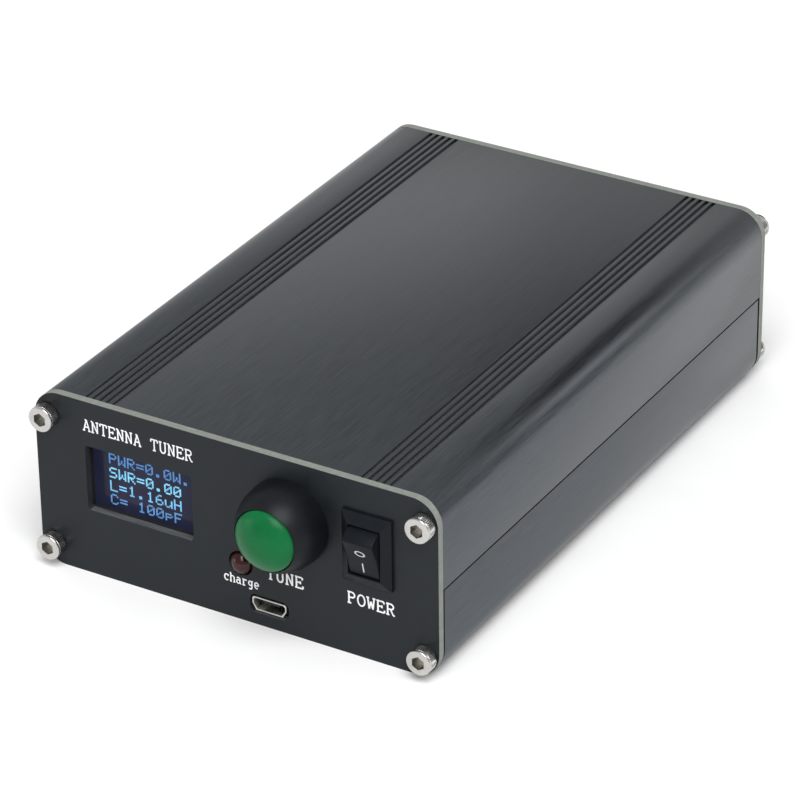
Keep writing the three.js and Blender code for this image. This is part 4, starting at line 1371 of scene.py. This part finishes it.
    def screws(self) -> None:
        """Copies the cap screw into its eight places."""
        first = self.cap_screw()
        for panel, inner in (("front", "front_panel"), ("rear", "rear_panel")):
            low, high = corners_of(inner)
            rear = panel == "rear"
            seat = high.y if rear else low.y
            for node in numbered(f"{panel}_screw"):
                centre = middle_of(node)
                name = node.replace("_screw_", "_cap_screw_")
                screw = duplicate(first, name, (centre.x, seat, centre.z), rear)
                self.hand_over(screw, CASE_BODY, [node], dressed=True)
        bpy.data.objects.remove(first, do_unlink=True)

    def legends(self) -> None:
        """Prints the generic legends on the front panel."""
        face = corners_of("front_panel")[0].y
        ink = MouldedPlastic("white_ink", (0.88, 0.89, 0.90), 0.6, 0.004)
        for legend in (
            Legend("legend_title", "ANTENNA TUNER", -33.1, 31.45, 1.9, 2.3, 0.33),
            Legend("legend_tune", "TUNE", 6.9, 10.95, 2.08, 2.35, 0.4),
            Legend("legend_power", "POWER", 24.5, 11.15, 2.07, 2.35, 0.39),
            Legend("legend_charge", "charge", -2.6, 7.83, 1.33, 1.87, 0.32),
        ):
            printed = legend.make(face)
            self.paint.coat(printed, ink)
            self.hand_over(printed, CASE_BODY, slot="panel_black", dressed=True)

    def build(self) -> None:
        """Builds every piece of the case."""
        self.covers()
        self.front_plate()
        self.rear_plate()
        self.screws()
        self.legends()


# ---------------------------------------------------------------- display

DOT_SIGNS: dict[str, tuple[str, ...]] = {
    "P": ("####.", "#...#", "#...#", "####.", "#....", "#....", "#...."),
    "W": ("#...#", "#...#", "#...#", "#.#.#", "#.#.#", "##.##", "#...#"),
    "R": ("####.", "#...#", "#...#", "####.", "#.#..", "#..#.", "#...#"),
    "=": (".....", ".....", "#####", ".....", "#####", ".....", "....."),
    "0": (".###.", "#...#", "#..##", "#.#.#", "##..#", "#...#", ".###."),
    ".": (".....", ".....", ".....", ".....", ".....", ".##..", ".##.."),
    "S": (".####", "#....", "#....", ".###.", "....#", "....#", "####."),
    "L": ("#....", "#....", "#....", "#....", "#....", "#....", "#####"),
    "1": ("..#..", ".##..", "..#..", "..#..", "..#..", "..#..", ".###."),
    "6": ("..##.", ".#...", "#....", "####.", "#...#", "#...#", ".###."),
    "u": (".....", ".....", "#...#", "#...#", "#...#", "#..##", ".##.#"),
    "H": ("#...#", "#...#", "#...#", "#####", "#...#", "#...#", "#...#"),
    "C": (".###.", "#...#", "#....", "#....", "#....", "#...#", ".###."),
    "p": (".....", ".....", "####.", "#...#", "####.", "#....", "#...."),
    "F": ("#####", "#....", "#....", "####.", "#....", "#....", "#...."),
    " ": (".....",) * 7,
}


@dataclass(frozen=True)
class Readout:
    """One row of signs on the display."""

    name: str
    signs: str
    top: float
    colour: Triple
    strength: float


@dataclass
class Display(SubAssembly):
    """The display glass with its lit readout, its foam gasket and its board. Sizes in mm."""

    left: float = -29.6
    sign_pitch: float = 2.06
    dot_height: float = 0.325
    columns: int = 6
    rows: int = 7
    film: float = 0.015

    def readouts(self) -> None:
        """Builds the four rows of lit dots on the front of the glass."""
        glass = corners_of("display_glass")[0]
        for row in (
            Readout("readout_power", "PWR=0.0W.", 26.0, (0.06, 0.27, 0.66), 0.78),
            Readout("readout_ratio", "SWR=0.00", 22.95, (0.19, 0.62, 1.0), 1.08),
            Readout("readout_coil", "L=1.16uH", 20.0, (0.16, 0.52, 0.96), 1.0),
            Readout("readout_capacitor", "C= 100pF", 17.1, (0.11, 0.34, 0.72), 0.84),
        ):
            dots = self.dot_row(row, glass.y)
            self.paint.coat(dots, LitDots(f"{row.name}_glow", row.colour, row.strength))
            self.hand_over(dots, CASE_BODY, slot="display_glass", dressed=True)

    def dot_row(self, row: Readout, face: float) -> bpy.types.Object:
        """Builds one row of signs from a grid whose unlit dots are taken away.

        Args:
            row: what to write and where.
            face: Y of the glass's front in millimetres.

        Returns:
            The row's mesh.
        """
        lay_down_tools()
        count = len(row.signs) * self.columns
        dot_width = self.sign_pitch / self.columns
        width, height = count * dot_width, self.rows * self.dot_height
        bpy.ops.mesh.primitive_grid_add(
            x_subdivisions=count,
            y_subdivisions=self.rows,
            size=1,
            location=Vector((self.left + width / 2, face - self.film, row.top - height / 2)) * MM,
            rotation=(math.pi / 2, 0, 0),
        )
        bpy.context.object.scale = (width * MM, height * MM, 1)
        dots = settle(row.name)

        def unlit(middle: Vector, _normal: Vector) -> bool:
            """Tells whether a dot of the grid stays dark."""
            column = int((middle.x - self.left) / dot_width)
            line = int((row.top - middle.z) / self.dot_height)
            pattern = DOT_SIGNS[row.signs[column // self.columns]][line]
            return (column % self.columns) >= len(pattern) or pattern[column % self.columns] != "#"

        with Bench(dots) as bench:
            bench.faces(unlit)
            bpy.ops.mesh.delete(type="FACE")
        film = dots.modifiers.new("film", "SOLIDIFY")
        film.thickness = self.film * MM
        pick_up(dots)
        bpy.ops.object.modifier_apply(modifier=film.name)
        return dots

    def build(self) -> None:
        """Builds the readout and dresses the display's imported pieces."""
        self.readouts()
        for node in ("display_glass", "display_gasket", "display_board", "display_header"):
            self.dress_node(node)


# ---------------------------------------------------------------- tune button


@dataclass
class TuneButton(SubAssembly):
    """The push button: threaded bezel, domed cap, spring, nut, contact and blades. Sizes in mm."""

    base_radius: float = 8.75
    bezel_height: float = 8.22
    taper: float = 1.75
    taper_power: float = 3.0
    taper_height: float = 7.5
    taper_steps: int = 20
    bore_radius: float = 6.4
    lip_round: float = 0.12
    thread_radius: float = 7.8
    thread_depth: float = 0.35
    thread_pitch: float = 1.0
    thread_lead: float = 0.5
    thread_runout: float = 0.4
    inner_radius: float = 6.0
    stem_bore: float = 2.7
    floor_front: float = 2.0
    floor_rear: float = 6.0
    rear_wall: float = 2.0
    cap_radius: float = 6.28
    cap_rim: float = 8.6
    dome_height: float = 2.4
    shoulder: float = 0.85
    shoulder_drop: float = 0.2
    dome_steps: int = 14
    skirt_end: float = 2.2
    stem_radius: float = 2.4
    collar_radius: float = 3.6
    collar_thickness: float = 1.5
    stem_end: float = 10.5
    travel: float = 1.8

    def bezel(self) -> None:
        """Builds the tapering bezel with its threaded body behind the panel."""
        middle = middle_of("tune_button_body")
        face = corners_of("front_panel")[0].y
        back = corners_of("tune_button_body")[1].y
        outer: list[tuple[float, float]] = []
        for step in range(self.taper_steps + 1):
            reach = (self.bezel_height - self.lip_round) * step / self.taper_steps
            radius = self.base_radius - self.taper * (reach / self.taper_height) ** self.taper_power
            outer.append((radius, face - reach))
        lip_width = outer[-1][0] - self.bore_radius
        crown = [
            (self.bore_radius + lip_width * 0.72, face - self.bezel_height + 0.03),
            (self.bore_radius + lip_width * 0.4, face - self.bezel_height),
            (self.bore_radius + 0.02, face - self.bezel_height + 0.05),
            (self.bore_radius, face - self.bezel_height + 0.15),
        ]
        thread_start = corners_of("tune_button_nut")[1].y + self.thread_lead
        thread_end = back - self.thread_runout
        thread = thread_profile(
            self.thread_radius, self.thread_depth, self.thread_pitch, thread_start, thread_end
        )
        profile = [
            (self.stem_bore, face + self.floor_rear),
            (self.inner_radius, face + self.floor_rear),
            (self.inner_radius, back - self.rear_wall),
            (self.stem_bore, back - self.rear_wall),
            (self.stem_bore, back),
            (self.thread_radius - 0.5, back),
            *reversed(thread),
            (self.thread_radius, thread_start - 0.3),
            (self.thread_radius, face),
            *outer,
            *crown,
            (self.bore_radius, face + self.floor_front),
            (self.stem_bore, face + self.floor_front),
        ]
        bezel = turn_profile("tune_bezel", middle.x, middle.z, profile, 96)
        shade(bezel, 40)
        self.hand_over(bezel, CASE_BODY, ["tune_button_body"])

    def cap(self) -> None:
        """Builds the domed cap with its skirt, stem and collar."""
        middle = middle_of("tune_button_cap")
        face = corners_of("front_panel")[0].y
        rim = face - self.cap_rim
        sphere = (self.cap_radius**2 + self.dome_height**2) / (2 * self.dome_height)
        edge = math.asin(self.cap_radius / sphere)
        dome = [(0.0, rim - self.dome_height)]
        for step in range(1, self.dome_steps + 1):
            angle = edge * step / self.dome_steps
            radius = sphere * math.sin(angle)
            drop = sphere * (math.cos(angle) - math.cos(edge))
            outermost = (radius / self.cap_radius - self.shoulder) / (1 - self.shoulder)
            easing = self.shoulder_drop * max(0.0, outermost) ** 2
            dome.append((radius - easing * 0.3, rim - drop + easing))
        collar = corners_of("tune_button_contact")[0].y - self.stem_end + self.floor_rear + 0.05
        profile = [
            *dome,
            (self.cap_radius, rim + 0.8),
            (self.cap_radius, face - self.skirt_end),
            (self.stem_radius, face - self.skirt_end),
            (self.stem_radius, collar),
            (self.collar_radius, collar),
            (self.collar_radius, collar + self.collar_thickness),
            (self.stem_radius, collar + self.collar_thickness),
            (self.stem_radius, face + self.stem_end),
            (0, face + self.stem_end),
        ]
        cap = turn_profile("tune_cap", middle.x, middle.z, profile, 96)
        shade(cap, 40)
        self.hand_over(cap, BUTTON_BODY, ["tune_button_cap"])

    def spring(self) -> None:
        """Builds the spring as a merged, smooth-shaded copy of the imported one."""
        node = "tune_button_spring"
        spring = merged_copy(node, "tune_spring")
        shade(spring, 60)
        self.hand_over(spring, CASE_BODY, [node])
        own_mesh(spring)

    def build(self) -> None:
        """Builds the button and dresses its hidden pieces."""
        self.bezel()
        self.cap()
        self.spring()
        for node in ("contact", "nut", "blade_1", "blade_2"):
            self.dress_node(f"tune_button_{node}")


# ---------------------------------------------------------------- power switch


@dataclass
class PowerSwitch(SubAssembly):
    """The rocker switch: crowned frame, rocker with its two marks, and blades. Sizes in mm."""

    frame_edge: float = 0.65
    frame_crown: float = 1.75
    opening: tuple[float, float] = (6.85, 10.6)
    lip: float = 0.3
    body_size: tuple[float, float] = (8.6, 13.0)
    body_depth: float = 10.0
    body_overlap: float = 0.1
    well_depth: float = 3.8
    frame_round: float = 0.35
    rocker_round: float = 0.3
    tilt: float = 19.0
    face_slope: float = 5.95
    valley_depth: float = 2.26
    pivot_reach: float = 0.33
    ring_place: float = 1.45
    ring_radius: float = 0.7
    ring_line: float = 0.14
    ring_stretch: Triple = (1.35, 1, 0.3)
    bar_place: float = -2.3
    bar_size: Triple = (0.28, 0.04, 2.2)
    bar_round: float = 0.015
    ink_gap: float = 0.01

    def frame(self) -> None:
        """Builds the crowned frame and the body with its well."""
        low, high = corners_of("power_switch_body")
        face = corners_of("front_panel")[0].y
        middle = (low + high) / 2
        wide, tall = high.x - low.x, high.z - low.z
        frame = block("power_frame", (low.x, face - self.frame_edge, low.z), (high.x, face, high.z))
        with Bench(frame) as bench:
            bench.faces(lambda _middle, normal: normal.y < -AXIS_TOLERANCE)
            rise = self.frame_crown - self.frame_edge
            bpy.ops.mesh.extrude_region_move(TRANSFORM_OT_translate={"value": (0, -rise * MM, 0)})
            ratio_x = (self.opening[0] + self.lip) / wide
            ratio_z = (self.opening[1] + self.lip) / tall
            pivot = Vector((middle.x, face - self.frame_crown, middle.z)) * MM
            bpy.ops.transform.resize(value=(ratio_x, 1, ratio_z), center_override=pivot)
        body_span = (face - self.body_overlap, face + self.body_depth)
        body = punch(middle.x, middle.z, *self.body_size, body_span)
        well_span = (face - self.frame_crown - 1, face + self.well_depth)
        well = punch(middle.x, middle.z, *self.opening, well_span)
        carve(frame, [body], "UNION")
        carve(frame, [well])
        ease_edges(frame, self.frame_round / 2, 3, 12)
        self.hand_over(frame, CASE_BODY, ["power_switch_body"])

    def rocker(self) -> None:
        """Builds the rocker with softened edges."""
        rocker = merged_copy("power_rocker", "power_rocker_key")
        ease_edges(rocker, self.rocker_round, 3, 25)
        self.hand_over(rocker, ROCKER_BODY, ["power_rocker"])

    def marks(self) -> None:
        """Lays the ring and the bar on the rocker's two faces."""
        low, high = corners_of("power_rocker")
        middle_x = (low.x + high.x) / 2
        switch = middle_of("power_switch_body")
        face = corners_of("front_panel")[0].y
        pivot = Vector((middle_x, face - self.pivot_reach, switch.z))
        tilt = math.radians(self.tilt)
        ink = MouldedPlastic("pale_ink", (0.55, 0.58, 0.60), 0.6, 0.004)

        def on_face(along: float) -> tuple[Vector, float]:
            """Gives the place and the lean of a mark that lies some way from the valley."""
            slope = math.radians(self.face_slope) * (1 if along > 0 else -1)
            local_y = -self.valley_depth - abs(along) * math.sin(abs(slope)) - self.ink_gap
            local_z = along * math.cos(slope)
            y = local_y * math.cos(tilt) - local_z * math.sin(tilt)
            z = local_y * math.sin(tilt) + local_z * math.cos(tilt)
            return pivot + Vector((0, y, z)), tilt + slope

        ring_at, ring_lean = on_face(self.ring_place)
        lay_down_tools()
        bpy.ops.mesh.primitive_torus_add(
            major_segments=40,
            minor_segments=8,
            major_radius=self.ring_radius * MM,
            minor_radius=self.ring_line * MM,
            location=ring_at * MM,
            rotation=(math.pi / 2 + ring_lean, 0, 0),
        )
        bpy.context.object.scale = self.ring_stretch
        ring = settle("mark_ring")
        bar_at, bar_lean = on_face(self.bar_place)
        bpy.ops.mesh.primitive_cube_add(size=1, location=bar_at * MM, rotation=(bar_lean, 0, 0))
        bpy.context.object.scale = Vector(self.bar_size) * MM
        bar = settle("mark_bar")
        ease_edges(bar, self.bar_round, 2, 30)
        for mark in (ring, bar):
            shade(mark, 40)
            self.paint.coat(mark, ink)
            self.hand_over(mark, ROCKER_BODY, slot="rocker_black", dressed=True)

    def build(self) -> None:
        """Builds the switch and dresses its blades."""
        self.frame()
        self.rocker()
        self.marks()
        for node in ("power_switch_blade_1", "power_switch_blade_2"):
            self.dress_node(node)


# ---------------------------------------------------------------- charging parts


@dataclass
class ChargePort(SubAssembly):
    """The charge light, the charging socket on its board, and the cell. Sizes in mm."""

    lens_radius: float = 2.4
    lens_reach: float = 1.5
    flange_radius: float = 2.85
    flange_gap: float = 0.15
    flange_thickness: float = 1.0
    leg_size: float = 0.5
    leg_pitch: float = 2.54
    leg_root: float = 0.3
    leg_round: float = 0.08
    lip_round: float = 0.07
    dome_steps: int = 12

    def light(self) -> None:
        """Builds the lens with its flange and legs."""
        middle = middle_of("charge_light")
        low, high = corners_of("front_panel")
        centre = low.y - self.lens_reach + self.lens_radius
        dome = [(0.0, centre - self.lens_radius)]
        for step in range(1, self.dome_steps + 1):
            angle = math.pi / 2 * step / self.dome_steps
            radius = self.lens_radius * math.sin(angle)
            dome.append((radius, centre - self.lens_radius * math.cos(angle)))
        seat = high.y + self.flange_gap
        rear = seat + self.flange_thickness
        profile = [
            *dome,
            (self.lens_radius, seat),
            (self.flange_radius, seat + SLACK),
            (self.flange_radius, rear - SLACK),
            (self.flange_radius - 2 * SLACK, rear),
            (0, rear),
        ]
        lens = turn_profile("charge_lens", middle.x, middle.z, profile, 64)
        shade(lens, 35)
        back = corners_of("charge_light")[1].y
        legs = []
        for side in (-1, 1):
            x, leg_span = middle.x + side * self.leg_pitch / 2, (rear - self.leg_root, back)
            leg = punch(x, middle.z, self.leg_size, self.leg_size, leg_span)
            ease_edges(leg, self.leg_round)
            legs.append(leg)
        self.paint.coat_by_slot(lens, "lens_red")
        for leg in legs:
            self.paint.coat_by_slot(leg, "blade_tin")
        whole = weld([lens, *legs], "charge_lens")
        self.hand_over(whole, CASE_BODY, ["charge_light"], dressed=True)

    def mouth(self) -> None:
        """Builds the socket's metal mouth with rounded lips."""
        mouth = merged_copy("charge_socket_shell", "charge_mouth")
        ease_edges(mouth, self.lip_round, 2, 20)
        self.hand_over(mouth, CASE_BODY, ["charge_socket_shell"])

    def build(self) -> None:
        """Builds the charging parts and dresses the hidden ones."""
        self.light()
        self.mouth()
        for node in ("charge_socket_tongue", "charge_board", "battery"):
            self.dress_node(node)


# ---------------------------------------------------------------- board


@dataclass
class RadioBoard(SubAssembly):
    """The main board and what stands on it."""

    def build(self) -> None:
        """Dresses the board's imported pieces."""
        for node in ("main_board", "control_chip", "coupler_core"):
            self.dress_node(node)
        for node in sorted(self.slots):
            if node.startswith(("relay_", "inductor_")):
                self.dress_node(node)


# ---------------------------------------------------------------- coaxial sockets


@dataclass
class CoaxSockets(SubAssembly):
    """The two coaxial sockets on the rear panel. Sizes in mm."""

    flange_thickness: float = 2.6
    flange_corner: float = 1.2
    flange_round: float = 0.2
    flange_hole: float = 1.7
    barrel_radius: float = 7.9
    barrel_bore: float = 6.1
    rear_bore: float = 5.45
    rear_radius: float = 7.2
    insulator_reach: float = 5.0
    thread_depth: float = 0.5
    thread_pitch: float = 1.058
    thread_lead: float = 1.6
    thread_runout: float = 0.7
    notch_width: float = 1.6
    notch_depth: float = 1.2
    slit_width: float = 0.5
    slit_length: float = 6.0
    slit_reach: float = 4.0
    part_round: float = 0.08

    def body(self, socket: str) -> None:
        """Builds one socket's flange and threaded barrel."""
        low, high = corners_of(f"{socket}_body")
        middle = middle_of(f"{socket}_body")
        seat = corners_of("rear_panel")[1].y
        front = seat + self.flange_thickness
        shoulder = front + self.insulator_reach
        thread = thread_profile(
            self.barrel_radius,
            self.thread_depth,
            self.thread_pitch,
            front + self.thread_lead,
            high.y - self.thread_runout,
        )
        barrel = turn_profile(f"{socket}_barrel", middle.x, middle.z, [
            (self.rear_bore, low.y),
            (self.rear_radius - 0.2, low.y),
            (self.rear_radius, low.y + 0.2),
            (self.rear_radius, seat + 0.5),
            (self.barrel_radius - self.thread_depth, front - 0.4),
            *thread,
            (self.barrel_radius - self.thread_depth - 0.1, high.y - 0.1),
            (self.barrel_radius - self.thread_depth - 0.3, high.y),
            (self.barrel_bore + 0.15, high.y),
            (self.barrel_bore, high.y - 0.15),
            (self.barrel_bore, shoulder),
            (self.rear_bore, shoulder),
        ], 72)
        flange = block(f"{socket}_flange", (low.x, seat, low.z), (high.x, front, high.z))
        round_corners(flange, self.flange_corner)
        reach = (seat - 1, front + 1)
        carve(flange, [
            rod("drill", middle.x, middle.z, self.rear_radius - 0.3, reach, 72),
            *drills_at(numbered(f"{socket}_screw"), self.flange_hole, reach, 32),
        ])
        ease_edges(flange, self.flange_round, 2)
        notch_span = (high.y - self.notch_depth, high.y + 1)
        carve(barrel, crossed_punches(middle, self.barrel_radius + 1, self.notch_width, notch_span))
        shade(barrel, 32)
        self.hand_over(weld([flange, barrel], f"{socket}_shell"), CASE_BODY, [f"{socket}_body"])

    def contact(self, socket: str) -> None:
        """Builds the centre contact with its crossed slits."""
        node = f"{socket}_contact"
        contact = merged_copy(node, f"{socket}_pin")
        _low, high = corners_of(node)
        middle = middle_of(node)
        slit_span = (high.y - self.slit_length, high.y + 1)
        carve(contact, crossed_punches(middle, self.slit_reach, self.slit_width, slit_span))
        shade(contact, 30)
        self.hand_over(contact, CASE_BODY, [node])

    def small_parts(self, socket: str) -> None:
        """Softens the insulator and the flange screws, and dresses the backing plate."""
        for node in (f"{socket}_insulator", *numbered(f"{socket}_screw")):
            part = merged_copy(node, f"{node}_part")
            ease_edges(part, self.part_round, 2, 40)
            self.hand_over(part, CASE_BODY, [node])
        self.dress_node(f"{socket}_backing")

    def build(self) -> None:
        """Builds both sockets."""
        for socket in SOCKETS:
            self.body(socket)
            self.contact(socket)
            self.small_parts(socket)


# ---------------------------------------------------------------- studio


@dataclass(frozen=True)
class SoftLight:
    """One soft box: its middle and target in metres, its size and its power."""

    name: str
    place: Triple
    target: Triple
    size: tuple[float, float]
    power: float
    colour: Triple = (1.0, 1.0, 1.0)

    def hang(self) -> None:
        """Adds the light to the scene."""
        data = bpy.data.lights.new(self.name, "AREA")
        data.shape = "RECTANGLE"
        data.size, data.size_y = self.size
        data.energy = self.power
        data.color = self.colour
        light = bpy.data.objects.new(self.name, data)
        light.location = self.place
        aim = Vector(self.target) - Vector(self.place)
        light.rotation_euler = aim.to_track_quat("-Z", "Y").to_euler()
        bpy.context.collection.objects.link(light)


@dataclass(frozen=True)
class Studio:
    """Floor, soft light and camera."""

    camera_place: Triple = (0.37337, -0.62842, 0.42894)
    azimuth: float = 30.8347
    elevation: float = 29.5524
    roll: float = 0.7401
    lens: float = 191.086
    sensor: float = 36.0
    shift: tuple[float, float] = (-0.00809, -0.00062)
    floor_size: float = 6.0
    surround: float = 0.56
    heart: Triple = (0, 0, 0.03)
    card_place: Triple = (0.1, 1.12, 0.98)
    card_size: tuple[float, float] = (0.86, 0.62)

    def lay_floor(self) -> None:
        """Lays the pale floor that the object stands on."""
        lay_down_tools()
        bpy.ops.mesh.primitive_plane_add(size=self.floor_size)
        floor = settle("floor")
        recipe = Recipe("floor_paper")
        recipe.fix(Roughness=0.9)
        fibre = recipe.noise((40, 40, 40), detail=2)
        tone = recipe.ramp(fibre, [(0.3, (0.93, 0.93, 0.93)), (0.7, (0.96, 0.96, 0.96))])
        recipe.feed("Base Color", tone)
        floor.data.materials.append(recipe.material)

    def hang_card(self) -> None:
        """Hangs the dark card that draws the dark line along the case's rounded edge."""
        lay_down_tools()
        aim = Vector(self.heart) - Vector(self.card_place)
        bpy.ops.mesh.primitive_plane_add(
            size=1, location=self.card_place, rotation=aim.to_track_quat("-Z", "Y").to_euler()
        )
        bpy.context.object.scale = (*self.card_size, 1)
        card = settle("dark_card")
        recipe = Recipe("card_felt")
        recipe.fix(Roughness=1.0, Specular_IOR_Level=0.0)
        felt = recipe.noise((300, 300, 300), detail=2)
        base = recipe.ramp(felt, [(0.3, (0.01, 0.01, 0.01)), (0.7, (0.02, 0.02, 0.02))])
        recipe.feed("Base Color", base)
        card.data.materials.append(recipe.material)

    def light(self) -> None:
        """Sets the even surround and the soft boxes."""
        world = bpy.data.worlds.new("surround")
        world.use_nodes = True
        background = world.node_tree.nodes["Background"]
        background.inputs["Color"].default_value = (1, 1, 1, 1)
        background.inputs["Strength"].default_value = self.surround
        bpy.context.scene.world = world
        for soft_box in (
            SoftLight("key_box", (0.5, -0.8, 1.4), (0, 0, 0), (1.2, 1.2), 26.0),
            SoftLight("rear_left_box", (-1.3, 1.1, 0.55), self.heart, (1.5, 0.9), 1.15),
            SoftLight("rear_right_box", (0.78, 1.0, 0.62), self.heart, (0.4, 0.3), 0.75),
            SoftLight("front_left_box", (-1.2, -0.85, 0.25), self.heart, (0.5, 0.4), 1.3),
        ):
            soft_box.hang()

    def aim_camera(self) -> None:
        """Creates the camera at its measured place and angle."""
        azimuth, elevation, roll = (math.radians(a) for a in (self.azimuth, self.elevation, self.roll))
        back = Vector((
            math.sin(azimuth) * math.cos(elevation),
            -math.cos(azimuth) * math.cos(elevation),
            math.sin(elevation),
        ))
        level = (-back).cross(Vector((0, 0, 1))).normalized()
        down = (-back).cross(level)
        right = math.cos(roll) * level + math.sin(roll) * down
        up = back.cross(right)
        turn = Matrix((right, up, back)).transposed()
        data = bpy.data.cameras.new("camera")
        data.lens = self.lens
        data.sensor_width = self.sensor
        data.shift_x, data.shift_y = self.shift
        data.clip_start = 0.01
        camera = bpy.data.objects.new("camera", data)
        camera.matrix_world = Matrix.Translation(self.camera_place) @ turn.to_4x4()
        bpy.context.collection.objects.link(camera)
        bpy.context.scene.camera = camera

    def build(self) -> None:
        """Sets the whole studio."""
        self.aim_camera()
        self.lay_floor()
        self.hang_card()
        self.light()
        bpy.context.scene.view_settings.view_transform = "Standard"


def main() -> None:
    """Builds the studio and every sub-assembly."""
    logging.basicConfig(level=logging.INFO, format="%(message)s")
    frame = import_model()
    Studio().build()
    slots = {part["node"]: part["material_slot"] for part in frame["record"]["subparts"]}
    paint = Paintshop()
    for kind in (Case, Display, TuneButton, PowerSwitch, ChargePort, RadioBoard, CoaxSockets):
        assembly = kind(paint, slots)
        assembly.build()
        assembly.report()


if __name__ == "__main__":
    main()
